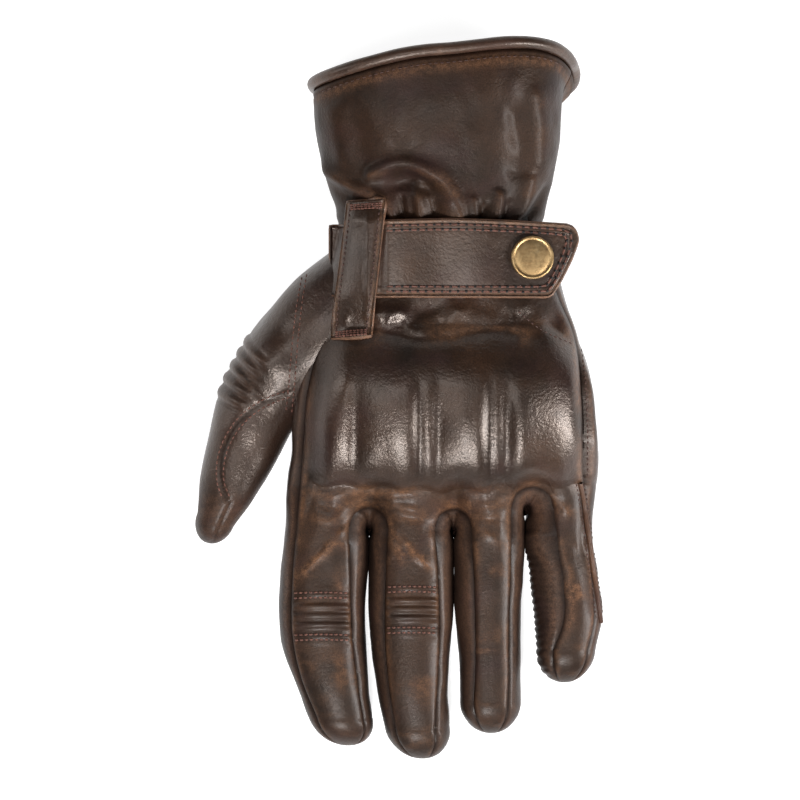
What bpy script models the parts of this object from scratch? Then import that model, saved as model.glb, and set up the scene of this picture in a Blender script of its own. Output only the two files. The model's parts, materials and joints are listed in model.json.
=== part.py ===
"""A left-hand leather riding glove, lying on its palm: +Z is the back of the hand, -Y is where the
fingers point, -X is the thumb side. The origin is under the middle of the glove, on the surface that it
lies on.

Every leather panel is a patch of a tube: the hand, the cuff, each finger and the thumb are tubes of
superellipse sections, and a panel is the stretch between two seams. All lengths are millimetres until
the mesh is made.
"""

import math

import bmesh
import bpy
import numpy as np
from mathutils import Matrix, Vector

MM = 0.001

# Driving dimensions
LEATHER = 1.4  # thickness of the outer hide
LINING = 0.9  # thickness of the fabric lining
LINING_DEPTH = 2.6  # from the outer face of the hide to the lining
SEAM_GAP = 0.4  # clear space where two panels meet
KNUCKLE_S, KNUCKLE_Z, KNUCKLE_MAX = 31.0, 17.0, 45.0  # the fold across the hand where the fingers leave it
WRIST_S, WRIST_Z, WRIST_MAX = -76.0, 28.0, 20.0  # the gathered line between hand and cuff
FINGER_MAX = 70.0  # bend of a finger at its middle joint
THUMB_MAX = 35.0
PIPING_RADIUS = 2.0
CAP_RADIUS = 7.5  # of the press stud
STRAP_THICKNESS = 2.2
STRAP_HALF_WIDTH = 13.5

# Seam angles round a section: 0 is +X, 90 is the back of the hand
HAND_SEAM = 32.0
FINGER_SEAM = 50.0
FINGER_WALL = 42.0

# Stations of each tube: s (distance towards the fingertips), centre x, centre z, half width, half height
HAND = [
    (-84.0, 13.6, 27.5, 38.0, 24.2),
    (-64.8, 14.0, 26.8, 36.5, 23.3),
    (-49.0, 14.9, 26.2, 39.5, 22.8),
    (-35.0, 14.7, 25.6, 43.6, 22.4),
    (-21.0, 14.7, 25.2, 48.0, 22.0),
    (-7.0, 15.2, 24.8, 51.5, 21.6),
    (7.0, 15.2, 24.1, 53.2, 21.0),
    (21.0, 15.4, 22.7, 54.0, 19.6),
    (35.0, 14.5, 20.4, 54.3, 17.4),
]
CUFF = [
    (-70.0, 13.4, 26.8, 38.2, 24.5),
    (-77.0, 13.6, 27.3, 40.0, 25.5),
    (-91.0, 13.7, 30.3, 42.4, 29.0),
    (-105.0, 13.5, 32.8, 43.6, 31.5),
    (-130.0, 14.0, 34.3, 45.0, 33.0),
]
FINGERS = {
    "index": [
        (30.0, -25.0, 20.0, 14.1, 16.6),
        (56.0, -26.2, 17.3, 14.5, 14.8),
        (75.0, -27.2, 15.4, 14.7, 13.6),
        (88.0, -26.6, 14.0, 13.9, 12.8),
        (101.5, -23.6, 12.5, 12.1, 11.8),
        (112.0, -20.7, 11.2, 10.9, 10.6),
    ],
    "middle": [
        (30.0, 3.9, 20.3, 14.1, 16.8),
        (56.0, 3.9, 17.6, 14.2, 15.0),
        (75.0, 4.1, 15.7, 14.5, 13.8),
        (91.0, 4.0, 14.0, 13.4, 12.8),
        (105.0, 4.7, 12.4, 12.1, 11.8),
        (115.5, 5.8, 11.3, 11.0, 10.7),
    ],
    "ring": [
        (30.0, 31.2, 20.0, 12.6, 16.5),
        (56.0, 31.5, 17.0, 11.8, 14.2),
        (70.0, 31.3, 15.4, 11.3, 13.2),
        (94.5, 31.7, 12.9, 10.8, 11.7),
        (106.0, 31.5, 11.7, 10.6, 10.9),
    ],
    "little": [
        (27.0, 57.4, 19.0, 11.2, 15.0),
        (50.0, 57.0, 15.8, 11.6, 13.0),
        (61.0, 58.3, 14.7, 11.6, 12.3),
        (76.0, 59.9, 13.1, 11.4, 11.4),
        (88.0, 58.7, 11.9, 10.4, 10.7),
    ],
}
FINGER_TIP = {"index": 121.5, "middle": 126.0, "ring": 117.2, "little": 99.2}
FINGER_BEND_S = {"index": 75.0, "middle": 74.0, "ring": 69.0, "little": 61.0}
FINGER_AXIS_DROP = 3.0  # the bend axis lies this far under the middle of the finger
# Where the back's tongues part, and how much nearer the fingertips the palm's do
CROTCH_S = {("index", "middle"): 39.5, ("middle", "ring"): 39.5, ("ring", "little"): 36.0}
PALM_CROTCH_SHIFT = 7.0
ACCORDION_HALF = {"index": 7.0, "middle": 7.0}

# Thumb stations: distance along its own line, then centre x, y, z, half width, half height
THUMB = [
    (0.0, -22.0, 33.0, 24.5, 21.0, 17.5),
    (22.0, -37.0, 17.0, 20.5, 18.0, 16.5),
    (46.0, -50.0, -2.0, 17.0, 14.2, 15.2),
    (59.0, -54.6, -14.5, 16.0, 12.4, 14.0),
    (77.0, -60.6, -32.0, 14.6, 9.4, 12.0),
    (87.0, -63.7, -41.5, 13.4, 7.3, 10.0),
]
THUMB_TIP = 96.0
THUMB_BEND = 50.0
THUMB_SEAM = 42.0
THUMB_PIVOT = Vector((-51.6, -6.0, 16.0))
THUMB_LINE = Vector((-0.32, -0.947, -0.06)).normalized()
THUMB_CURL_DOWN = 80.0  # degrees between the thumb's curl and the plane of the palm

ARMOUR_RISE = 7.0
ARMOUR_X = (-34.0, 63.5)
ARMOUR_S = (-21.0, 28.5)

SNAP_X, SNAP_S = 45.5, -49.3
STRAP_TOP_Z, STRAP_CREST_X, STRAP_RADIUS = 51.3, 14.0, 200.0
STUD_SEAT = 4.2  # from the middle of the strap down to the hide under the press stud
STRAP_HINGE_X = -4.8
STRAP_END_X = 61.8


def smooth(stations, s):
    """A row of the stations at s, by cubic interpolation that holds the end slopes."""
    table = np.array(sorted(stations), float)
    at = table[:, 0]
    s = float(np.clip(s, at[0], at[-1]))
    slopes = np.gradient(table, at, axis=0)
    i = int(np.clip(np.searchsorted(at, s) - 1, 0, len(at) - 2))
    h = at[i + 1] - at[i]
    t = (s - at[i]) / h
    ease = t * t * (3 - 2 * t)
    bend_in = t * (1 - t) ** 2 * h
    bend_out = t * t * (t - 1) * h
    return (1 - ease) * table[i] + ease * table[i + 1] + bend_in * slopes[i] + bend_out * slopes[i + 1]


def superellipse(angle, exponent):
    c, s = math.cos(math.radians(angle)), math.sin(math.radians(angle))
    power = 2 / exponent
    return math.copysign(abs(c) ** power, c), math.copysign(abs(s) ** power, s)


class Tube:
    """A tube of superellipse sections across the Y axis, closed by a dome where a tip is given."""

    def __init__(self, stations, exponent, tip=None):
        self.stations = stations
        self.exponent = exponent
        self.last = max(row[0] for row in stations)
        self.tip = tip

    def dome(self, s):
        """How much the section shrinks, and how far past the last station it lies, on the way to the tip."""
        if self.tip is None or s <= self.last:
            return 1.0, 0.0
        share = min((s - self.last) / (self.tip - self.last), 1.0)
        return math.cos(share * math.radians(84)), math.sin(share * math.radians(84))

    def point(self, s, angle, inset=0.0):
        _, x, z, half_width, half_height = smooth(self.stations, s)
        shrink, ahead = self.dome(s)
        across, up = superellipse(angle, self.exponent)
        along = s
        if ahead:
            before = smooth(self.stations, self.last - 4.0)
            x += (x - before[1]) / 4.0 * (self.tip - self.last) * ahead
            along = self.last + (self.tip - self.last - inset) * ahead
        return Vector(
            (x + (half_width - inset) * shrink * across, -along, z + (half_height - inset) * shrink * up)
        )

    def top(self, x, s, inset=0.0, side=1):
        """The height of the back of the tube over a point, or of its underside with side -1."""
        _, centre, z, half_width, half_height = smooth(self.stations, s)
        share = min(abs((x - centre) / half_width), 0.999)
        return z + side * ((half_height) * (1 - share**self.exponent) ** (1 / self.exponent) - inset)

    def middle(self, s):
        row = smooth(self.stations, s)
        return row[1], row[2], row[3], row[4]


class SlantTube(Tube):
    """The thumb: a tube that runs along its own slanting line."""

    def point(self, s, angle, inset=0.0):
        row = smooth(self.stations, s)
        shrink, ahead = self.dome(s)
        across, up = superellipse(angle, self.exponent)
        step = smooth(self.stations, min(s + 1, self.last)) - smooth(self.stations, min(s, self.last - 1))
        forward = Vector(step[1:4]).normalized()
        side = Vector((-forward.y, forward.x, 0)).normalized()
        rise = forward.cross(side) * -1
        rise = rise if rise.z > 0 else -rise
        centre = Vector(row[1:4]) + forward * (self.tip - self.last - inset) * ahead
        return centre + side * (row[4] - inset) * shrink * across + rise * (row[5] - inset) * shrink * up


HAND_TUBE = Tube(HAND, 2.8)
CUFF_TUBE = Tube(CUFF, 2.4)
FINGER_TUBES = {name: Tube(rows, 2.4, FINGER_TIP[name]) for name, rows in FINGERS.items()}
THUMB_TUBE = SlantTube(THUMB, 2.3, THUMB_TIP)


# ---------------------------------------------------------------- mesh making


def material(name, colour, roughness, metallic=0.0):
    made = bpy.data.materials.get(name) or bpy.data.materials.new(name)
    made.use_nodes = True
    shader = made.node_tree.nodes["Principled BSDF"]
    shader.inputs["Base Color"].default_value = (*colour, 1)
    shader.inputs["Roughness"].default_value = roughness
    shader.inputs["Metallic"].default_value = metallic
    return made


def hide():
    return material("hide", (0.075, 0.038, 0.024), 0.42)


def fabric():
    return material("lining_fabric", (0.02, 0.018, 0.017), 0.9)


def foam():
    return material("foam", (0.09, 0.085, 0.08), 0.95)


def armour_shell():
    return material("armour_shell", (0.03, 0.03, 0.032), 0.5)


def elastic():
    return material("elastic", (0.05, 0.04, 0.035), 0.85)


def brass():
    return material("brass", (0.55, 0.36, 0.13), 0.3, 1.0)


def steel():
    return material("stud_steel", (0.45, 0.42, 0.38), 0.35, 1.0)


def finish(name, mesh, look):
    """One named object from a mesh in millimetres."""
    made = bmesh.new()
    made.from_mesh(mesh)
    bmesh.ops.recalc_face_normals(made, faces=made.faces)
    made.to_mesh(mesh)
    made.free()
    mesh.transform(Matrix.Scale(MM, 4))
    mesh.shade_smooth()
    mesh.set_sharp_from_angle(angle=math.radians(40))
    mesh.materials.append(look)
    obj = bpy.data.objects.new(name, mesh)
    bpy.context.scene.collection.objects.link(obj)
    return obj


def between(name, outer, inner, look, ring=False):
    """A closed solid between two grids of points. With ring, the columns close on themselves."""
    rows, columns = len(outer), len(outer[0])
    points = [p for row in outer for p in row] + [p for row in inner for p in row]
    depth = rows * columns
    faces = []
    wrap = columns if ring else columns - 1
    for i in range(rows - 1):
        for j in range(wrap):
            a, b = i * columns + j, i * columns + (j + 1) % columns
            c, d = b + columns, a + columns
            faces.append((a, b, c, d))
            faces.append((depth + a, depth + d, depth + c, depth + b))
    for j in range(wrap):
        for start in (0, (rows - 1) * columns):
            a, b = start + j, start + (j + 1) % columns
            faces.append((a, b, depth + b, depth + a))
    if not ring:
        for i in range(rows - 1):
            for a in (i * columns, i * columns + columns - 1):
                faces.append((a, a + columns, depth + a + columns, depth + a))
    mesh = bpy.data.meshes.new(name)
    mesh.from_pydata(points, [], faces)
    return finish(name, mesh, look)


def steps(start, end, count):
    return [start + (end - start) * i / count for i in range(count + 1)]


def patch(name, tube, s_range, angles, depths, size, look, ring=False):
    """A panel of a tube between two lengths and two seam angles. The lengths may depend on the angle."""
    rows, columns = size
    across = steps(angles[0], angles[1], columns)
    if ring:
        across = across[:-1]

    def grid(inset):
        made = []
        for i in range(rows + 1):
            row = []
            for angle in across:
                start, end = (f(angle) if callable(f) else f for f in s_range)
                row.append(tube.point(start + (end - start) * i / rows, angle, inset))
            made.append(row)
        return made

    return between(name, grid(depths[0]), grid(depths[1]), look, ring)


def plate(name, xs, ss, upper, lower, look):
    """A closed plate over a grid of x and s, between two height functions."""
    outer = [[Vector((x, -s, upper(x, s))) for x in xs] for s in ss]
    inner = [[Vector((x, -s, lower(x, s))) for x in xs] for s in ss]
    return between(name, outer, inner, look)


def prism(name, outline, low, high, look=None):
    """An outline in X and s pulled up between two heights. With no material it is a cutter."""
    made = bmesh.new()
    face = made.faces.new([made.verts.new((x, -s, low)) for x, s in outline])
    lifted = bmesh.ops.extrude_face_region(made, geom=[face])["geom"]
    lifted_verts = [v for v in lifted if isinstance(v, bmesh.types.BMVert)]
    bmesh.ops.translate(made, vec=(0, 0, high - low), verts=lifted_verts)
    mesh = bpy.data.meshes.new(name)
    made.to_mesh(mesh)
    made.free()
    obj = finish(name, mesh, look or hide())
    if look is None:
        as_helper(obj)
    return obj


def as_helper(obj):
    obj.hide_render = True
    obj.display_type = "WIRE"


def cut(obj, cutter):
    modifier = obj.modifiers.new("cut_" + cutter.name, "BOOLEAN")
    modifier.operation = "DIFFERENCE"
    modifier.object = cutter


def turned(name, profile, base, axis, look, sides=28):
    """A profile of (radius, height) turned about an axis through base.

    A profile that ends off the axis is a ring.
    """
    made = bmesh.new()
    ring = profile[0][0] > 0 and profile[-1][0] > 0
    verts = [made.verts.new((r, 0, h)) for r, h in profile]
    edges = [made.edges.new(pair) for pair in zip(verts, verts[1:], strict=False)]
    if ring:
        edges.append(made.edges.new((verts[-1], verts[0])))
    bmesh.ops.spin(
        made, geom=verts + edges, cent=(0, 0, 0), axis=(0, 0, 1), angle=math.tau, steps=sides, use_merge=True
    )
    bmesh.ops.remove_doubles(made, verts=made.verts, dist=0.0001)
    turn = Vector((0, 0, 1)).rotation_difference(axis).to_matrix().to_4x4()
    bmesh.ops.transform(made, matrix=Matrix.Translation(base) @ turn, verts=made.verts)
    mesh = bpy.data.meshes.new(name)
    made.to_mesh(mesh)
    made.free()
    return finish(name, mesh, look)


# ---------------------------------------------------------------- shape rules


def ease(x, low, high):
    t = min(max((x - low) / (high - low), 0.0), 1.0)
    return t * t * (3 - 2 * t)


def armour_rise(x, s):
    """How far the moulded knuckle guard lifts the hide: four humps, steeper towards the fingers."""
    edge = ease(x, ARMOUR_X[0], ARMOUR_X[0] + 13) * ease(-x, -ARMOUR_X[1], -ARMOUR_X[1] + 8)
    edge *= ease(s, ARMOUR_S[0], ARMOUR_S[0] + 22) * ease(-s, -ARMOUR_S[1], -ARMOUR_S[1] + 7)
    pitch = (ARMOUR_X[1] - ARMOUR_X[0]) / 4
    hump = abs(math.sin(math.pi * (x - ARMOUR_X[0]) / pitch))
    return ARMOUR_RISE * edge * (0.82 + 0.18 * hump)


def wedge(axis_z, z, degrees):
    """How far a panel stays back from a hinge line at height z, so that the two sides can fold together."""
    return SEAM_GAP / 2 + max(axis_z - z, 0.0) * math.tan(math.radians(degrees / 2))


def hand_end(angle):
    z = HAND_TUBE.point(KNUCKLE_S, angle).z
    return KNUCKLE_S - wedge(KNUCKLE_Z, z, KNUCKLE_MAX) - SEAM_GAP


def hand_start(angle):
    z = HAND_TUBE.point(-71.0, angle).z
    return WRIST_S + SEAM_GAP + abs(z - WRIST_Z) * math.tan(math.radians(WRIST_MAX / 2))


def cuff_start(angle):
    z = CUFF_TUBE.point(-81.0, angle).z
    return WRIST_S - SEAM_GAP - abs(z - WRIST_Z) * math.tan(math.radians(WRIST_MAX / 2))


def cuff_rim(angle):
    """The mouth of the cuff is cut on a slant: longest on the back towards the little finger."""
    return -110.6 - 11.0 * math.cos(math.radians(angle - 60))


def stud_share(x, s):
    """How much the hide follows the strap's slope here, so that the press stud sits flat."""
    return 1.0 - ease(math.hypot(x - SNAP_X, s - SNAP_S), 8.0, 17.0)


def strap_height(x):
    """The strap's middle surface, a long arch over the wrist."""
    return STRAP_TOP_Z - (x - STRAP_CREST_X) ** 2 / (2 * STRAP_RADIUS)


def finger_axis(name):
    """The point of a finger's bend axis at the middle of the finger."""
    s = FINGER_BEND_S[name]
    x, z, _, _ = FINGER_TUBES[name].middle(s)
    return Vector((x, -s, z - FINGER_AXIS_DROP))


def base_end(name):
    """Where the fixed half of a finger stops, round its section."""
    axis = finger_axis(name)

    def end(angle):
        z = FINGER_TUBES[name].point(-axis.y, angle).z
        return -axis.y - wedge(axis.z, z, FINGER_MAX) - SEAM_GAP

    return end


def tip_start(name):
    axis = finger_axis(name)

    def start(angle):
        z = FINGER_TUBES[name].point(-axis.y, angle).z
        return -axis.y + wedge(axis.z, z, FINGER_MAX) + SEAM_GAP

    return start


def seam_x(name, s, side):
    """Where a finger's back meets its side wall. The side is 1 towards the little finger."""
    across, _ = superellipse(FINGER_SEAM, 2.4)
    x, _, half_width, _ = FINGER_TUBES[name].middle(s)
    return x + side * across * half_width


# ---------------------------------------------------------------- the hand


def make_hand():
    make_back_panel()
    make_side_panels()
    palm_angles = (180 + HAND_SEAM, 360 - HAND_SEAM)
    patch(
        "palm_panel", HAND_TUBE, (hand_start, hand_end), palm_angles, (0, LEATHER), (12, 10), hide()
    )
    outer = lining_grid((12, 20), LINING_DEPTH)
    inner = lining_grid((12, 20), LINING_DEPTH + LINING)
    between("hand_lining", outer, inner, fabric())
    patch(
        "wrist_elastic",
        HAND_TUBE,
        (-70.0, -63.0),
        (40, 140),
        (LEATHER + 0.25, LEATHER + 0.85),
        (1, 8),
        elastic(),
    )


def make_back_panel():
    size = (16, 16)
    back = back_grid(size, 0.0)
    back_inner = back_grid(size, LEATHER)
    panel = between("back_panel", back, back_inner, hide())
    stud_hole = turned(
        "stud_hole_cutter", [(0, -8), (2.3, -8), (2.3, 8), (0, 8)], snap_point(0), snap_axis(), hide(), 16
    )
    as_helper(stud_hole)
    cut(panel, stud_hole)


def make_side_panels():
    gap = 1.2
    patch(
        "little_side_panel",
        HAND_TUBE,
        (hand_start, hand_end),
        (-HAND_SEAM + gap, HAND_SEAM - gap),
        (0, LEATHER),
        (10, 3),
        hide(),
    )
    patch(
        "index_side_panel",
        HAND_TUBE,
        (lambda angle: -8.0, hand_end),
        (180 - HAND_SEAM + gap, 180 + HAND_SEAM - gap),
        (0, LEATHER),
        (5, 3),
        hide(),
    )
    patch(
        "wrist_side_panel",
        HAND_TUBE,
        (hand_start, lambda angle: -37.0),
        (180 - HAND_SEAM + gap, 180 + HAND_SEAM - gap),
        (0, LEATHER),
        (4, 3),
        hide(),
    )


def back_grid(size, inset):
    """The back of the hand, lifted where the knuckle guard lies under it."""
    rows, columns = size
    made = []
    for i in range(rows + 1):
        row = []
        for angle in steps(180 - HAND_SEAM, HAND_SEAM, columns):
            start, end = hand_start(angle), hand_end(angle)
            s = start + (end - start) * i / rows
            p = HAND_TUBE.point(s, angle, inset)
            p.z += armour_rise(p.x, s)
            near = stud_share(p.x, s)
            p.z = (1 - near) * p.z + near * (strap_height(p.x) - STUD_SEAT - inset)
            row.append(p)
        made.append(row)
    return made


def lining_grid(size, inset):
    """The lining is open under the palm and runs round under the side panels, below the press stud."""
    rows, columns = size
    made = []
    for i in range(rows + 1):
        row = []
        for angle in steps(180 + HAND_SEAM + 2, -HAND_SEAM - 2, columns):
            start, end = hand_start(angle) + 3, hand_end(angle) - 3
            s = start + (end - start) * i / rows
            p = HAND_TUBE.point(s, angle, inset)
            p.z -= 3.2 * stud_share(p.x, s) * ease(p.z, 30, 38)
            row.append(p)
        made.append(row)
    return made


def make_armour():
    xs = steps(ARMOUR_X[0] + 9, ARMOUR_X[1] - 6, 12)
    ss = steps(ARMOUR_S[0] + 14, ARMOUR_S[1] - 5, 5)

    def under_hide(x, s):
        return HAND_TUBE.top(x, s, LEATHER + 1.0) + armour_rise(x, s)

    plate("knuckle_armour", xs, ss, under_hide, lambda x, s: under_hide(x, s) - 1.6, armour_shell())
    plate(
        "armour_foam",
        xs[1:-1],
        ss[1:-1],
        lambda x, s: under_hide(x, s) - 2.1,
        lambda x, s: HAND_TUBE.top(x, s, LEATHER + 0.9),
        foam(),
    )


def rounded_outline(x_range, s_range, radius, corner_steps=4):
    corners = [
        (x_range[1] - radius, s_range[1] - radius, 0),
        (x_range[0] + radius, s_range[1] - radius, 90),
        (x_range[0] + radius, s_range[0] + radius, 180),
        (x_range[1] - radius, s_range[0] + radius, 270),
    ]
    made = []
    for x, s, start in corners:
        for turn in steps(start, start + 90, corner_steps):
            angle = math.radians(turn)
            made.append((x + radius * math.cos(angle), s + radius * math.sin(angle)))
    return made


def make_palm_reinforcement():
    prism("palm_patch", rounded_outline((-20, 48), (-44, 14), 16), 0.0, 1.2, hide())
    prism("palm_pad", rounded_outline((-15, 43), (-39, 9), 12), 1.5, 2.6, foam())


# ---------------------------------------------------------------- fingers


def slot_outline(pair, shift, reach):
    """The gap between two fingers' tongues: down one seam, with a round end."""
    left, right = pair
    top = CROTCH_S[pair] + shift
    radius = (seam_x(right, top + 6, -1) - seam_x(left, top + 6, 1)) / 2
    centre_s = top + radius
    centre_x = (seam_x(right, centre_s, -1) + seam_x(left, centre_s, 1)) / 2
    made = [(seam_x(left, s, 1), s) for s in steps(reach, centre_s, 5)]
    for turn in steps(180, 360, 8)[1:-1]:
        angle = math.radians(turn)
        made.append((centre_x + radius * math.cos(angle), centre_s + radius * math.sin(angle)))
    made += [(seam_x(right, s, -1), s) for s in steps(centre_s, reach, 5)]
    return made


def tongue_height(x, s, side):
    """The height of the four finger backs, or undersides, as one sheet that starts as the hand's."""

    def distance(finger):
        middle_x, _, half_width, _ = FINGER_TUBES[finger].middle(s)
        return abs(x - middle_x) / half_width

    name = min(FINGER_TUBES, key=distance)
    whole = HAND_TUBE.top(x, min(s, 35.0), 0.0, side)
    own = FINGER_TUBES[name].top(x, s, 0.0, side)
    share = max(ease(s, 33, 48), ease(abs(x - 15), 38, 49))
    return whole * (1 - share) + own * share


def tongue_x(s, across):
    """A point between the outer seams of the index finger and the little finger."""
    left, right = seam_x("index", s, -1), seam_x("little", s, 1)
    return left + (right - left) * across


def tongue_grid(side, inset, ends, size):
    rows, columns = size
    made = []
    for i in range(rows + 1):
        row = []
        for j in range(columns + 1):
            across = j / columns
            x_end = tongue_x(56, across)
            name = min(FINGER_TUBES, key=lambda n: abs(x_end - FINGER_TUBES[n].middle(56)[0]))
            z = tongue_height(tongue_x(KNUCKLE_S, across), KNUCKLE_S, side)
            start = KNUCKLE_S + wedge(KNUCKLE_Z, z, KNUCKLE_MAX) + SEAM_GAP
            s = start + (ends[name] - start) * i / rows
            x = tongue_x(s, across)
            row.append(Vector((x, -s, tongue_height(x, s, side) - side * inset)))
        made.append(row)
    return made


def make_finger_bases():
    """The half of each finger that moves with the knuckle fold: its back, palm and walls."""
    back_ends = {n: base_end(n)(90) - (ACCORDION_HALF.get(n, 0)) for n in FINGER_TUBES}
    palm_ends = {n: base_end(n)(270) for n in FINGER_TUBES}
    size = (7, 32)
    outer = tongue_grid(1, 0, back_ends, size)
    inner = tongue_grid(1, LEATHER, back_ends, size)
    back = between("finger_backs", outer, inner, hide())
    outer = tongue_grid(-1, 0, palm_ends, size)
    inner = tongue_grid(-1, LEATHER, palm_ends, size)
    palm = between("finger_palms", outer, inner, hide())
    for pair in CROTCH_S:
        label = "_".join(pair)
        cut(back, prism("slot_back_" + label, slot_outline(pair, 0.0, 90.0), 5.0, 60.0))
        cut(palm, prism("slot_palm_" + label, slot_outline(pair, PALM_CROTCH_SHIFT, 90.0), -10.0, 40.0))
        make_crotch_wall(pair)
    for name, middle in (("index", 180), ("little", 0)):
        tube = FINGER_TUBES[name]

        def start(angle, tube=tube):
            z = tube.point(40.0, angle).z
            return KNUCKLE_S + wedge(KNUCKLE_Z, z, KNUCKLE_MAX) + SEAM_GAP

        ends = (start, base_end(name))
        angles = (middle - FINGER_WALL, middle + FINGER_WALL)
        patch(name + "_outer_wall", tube, ends, angles, (0.2, LEATHER), (4, 4), hide())


def make_crotch_wall(pair):
    """The folded strip that lines the gap between two fingers: down one, round the crotch, up the other."""
    left, right = pair
    columns, leg_rows, arch_rows = 4, 4, 6

    def grid(inset):
        made = []
        for part in ("left", "arch", "right"):
            count = arch_rows if part == "arch" else leg_rows
            for i in range(count + 1):
                if part == "arch" and i in (0, arch_rows):
                    continue
                made.append([wall_point(part, i / count, j / columns, inset) for j in range(columns + 1)])
        return made

    def wall_point(part, along, rise, inset):
        angle = -FINGER_WALL + 2 * FINGER_WALL * rise
        crotch = CROTCH_S[pair] + PALM_CROTCH_SHIFT * (1 - rise) + 6.5
        if part == "left":
            s = base_end(left)(angle) + (crotch - base_end(left)(angle)) * along
            return FINGER_TUBES[left].point(s, angle, inset)
        if part == "right":
            s = crotch + (base_end(right)(180 - angle) - crotch) * along
            return FINGER_TUBES[right].point(s, 180 - angle, inset)
        a = FINGER_TUBES[left].point(crotch, angle, inset)
        b = FINGER_TUBES[right].point(crotch, 180 - angle, inset)
        middle, turn = (a.x + b.x) / 2, math.pi * along
        radius = (b.x - a.x) / 2
        z = a.z + (b.z - a.z) * along
        return Vector((middle - radius * math.cos(turn), -(crotch - max(radius, 0.5) * math.sin(turn)), z))

    between("fourchette_" + "_".join(pair), grid(0.2), grid(LEATHER), hide())


def make_fingertip(name):
    tube = FINGER_TUBES[name]
    start, end = tip_start(name), FINGER_TIP[name]
    shift = ACCORDION_HALF.get(name, 0)

    def back_start(angle):
        return start(angle) + shift

    back_angles = (180 - FINGER_SEAM, FINGER_SEAM)
    palm_angles = (180 + FINGER_SEAM, 360 - FINGER_SEAM)
    patch(name + "_tip_back", tube, (back_start, end), back_angles, (0, LEATHER), (8, 5), hide())
    patch(name + "_tip_palm", tube, (start, end), palm_angles, (0, LEATHER), (6, 5), hide())
    for side, middle in (("thumb_side", 180), ("little_side", 0)):
        patch(
            f"{name}_wall_{side}",
            tube,
            (start, end - 1.5),
            (middle - FINGER_WALL, middle + FINGER_WALL),
            (0.2, LEATHER),
            (6, 4),
            hide(),
        )
    bend = FINGER_BEND_S[name]
    if name in ACCORDION_HALF:
        make_accordion(name + "_accordion", tube, bend, ACCORDION_HALF[name])
    patch(
        name + "_inner_fold",
        tube,
        (lambda angle: base_end(name)(angle) + 0.6, lambda angle: start(angle) - 0.6),
        (180 + FINGER_SEAM + 3, 360 - FINGER_SEAM - 3),
        (0.3, LEATHER),
        (2, 4),
        hide(),
    )


def make_accordion(name, tube, centre, half, ribs=4):
    """A stretch panel: ribs across the back of a finger."""
    left, right = 180 - FINGER_SEAM - 1, FINGER_SEAM + 1
    reach = half - 1.0
    rows = ribs * 4

    def grid(depth, ribbed):
        made = []
        for i in range(rows + 1):
            s = centre - reach + 2 * reach * i / rows
            lift = 0.45 * (1 - math.cos(math.tau * i / 4)) if ribbed else 0.0
            made.append([tube.point(s, angle, depth - lift) for angle in steps(left, right, 4)])
        return made

    return between(name, grid(0.9, True), grid(LEATHER + 0.5, False), hide())


# ---------------------------------------------------------------- thumb


def make_thumb():
    body = hand_volume()
    curl = math.radians(THUMB_MAX / 2)

    def bend_line(side):
        def at(angle):
            p = THUMB_TUBE.point(THUMB_BEND, angle)
            below = max((THUMB_PIVOT - p).dot(curl_direction()) * -1, 0.0)
            return THUMB_BEND + side * (SEAM_GAP + below * math.tan(curl))

        return at

    for half, angles in (("back", (180 - THUMB_SEAM, -4)), ("palm", (180 - THUMB_SEAM + 2.5, 354))):
        base = patch(
            "thumb_base_" + half, THUMB_TUBE, (0.0, bend_line(-1)), angles, (0, LEATHER), (6, 9), hide()
        )
        cut(base, body)
    patch(
        "thumb_tip_back",
        THUMB_TUBE,
        (bend_line(1), THUMB_TIP),
        (180 - THUMB_SEAM, -4),
        (0, LEATHER),
        (8, 8),
        hide(),
    )
    patch(
        "thumb_tip_palm",
        THUMB_TUBE,
        (bend_line(1), THUMB_TIP),
        (180 - THUMB_SEAM + 3, 352),
        (0, LEATHER),
        (8, 8),
        hide(),
    )


def curl_direction():
    """The way the thumb's tip starts to move as it bends."""
    inward = Vector((-THUMB_LINE.y, THUMB_LINE.x, 0)).normalized()
    down = math.radians(THUMB_CURL_DOWN)
    return (inward * math.cos(down) + Vector((0, 0, -1)) * math.sin(down)).normalized()


def hand_volume():
    """The hand as one solid, a little larger, to trim what is sewn to its side."""
    angles = steps(0, 360, 36)[:-1]
    rows = [[HAND_TUBE.point(s, angle, -SEAM_GAP) for angle in angles] for s in steps(-75.0, 34.0, 14)]
    mesh = bpy.data.meshes.new("hand_volume_cutter")
    columns = len(rows[0])
    faces = []
    for i in range(len(rows) - 1):
        for j in range(columns):
            a, b = i * columns + j, i * columns + (j + 1) % columns
            faces.append((a, b, b + columns, a + columns))
    faces.append(tuple(range(columns)))
    faces.append(tuple(range((len(rows) - 1) * columns, len(rows) * columns)))
    mesh.from_pydata([p for row in rows for p in row], [], faces)
    obj = finish("hand_volume_cutter", mesh, hide())
    as_helper(obj)
    return obj


# ---------------------------------------------------------------- cuff


def make_cuff():
    seam_gap = 0.5
    ends = (cuff_start, cuff_rim)
    back_angles = (180 - seam_gap, seam_gap)
    palm_angles = (180 + seam_gap, 360 - seam_gap)
    patch("cuff_back", CUFF_TUBE, ends, back_angles, (0, LEATHER), (6, 16), hide())
    patch("cuff_palm", CUFF_TUBE, ends, palm_angles, (0, LEATHER), (6, 16), hide())
    patch(
        "cuff_lining",
        CUFF_TUBE,
        (lambda angle: cuff_start(angle) - 2, lambda angle: cuff_rim(angle) + 1.0),
        (0, 360),
        (LINING_DEPTH - 0.7, LINING_DEPTH - 0.7 + LINING),
        (4, 24),
        fabric(),
        ring=True,
    )
    make_piping()


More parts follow.
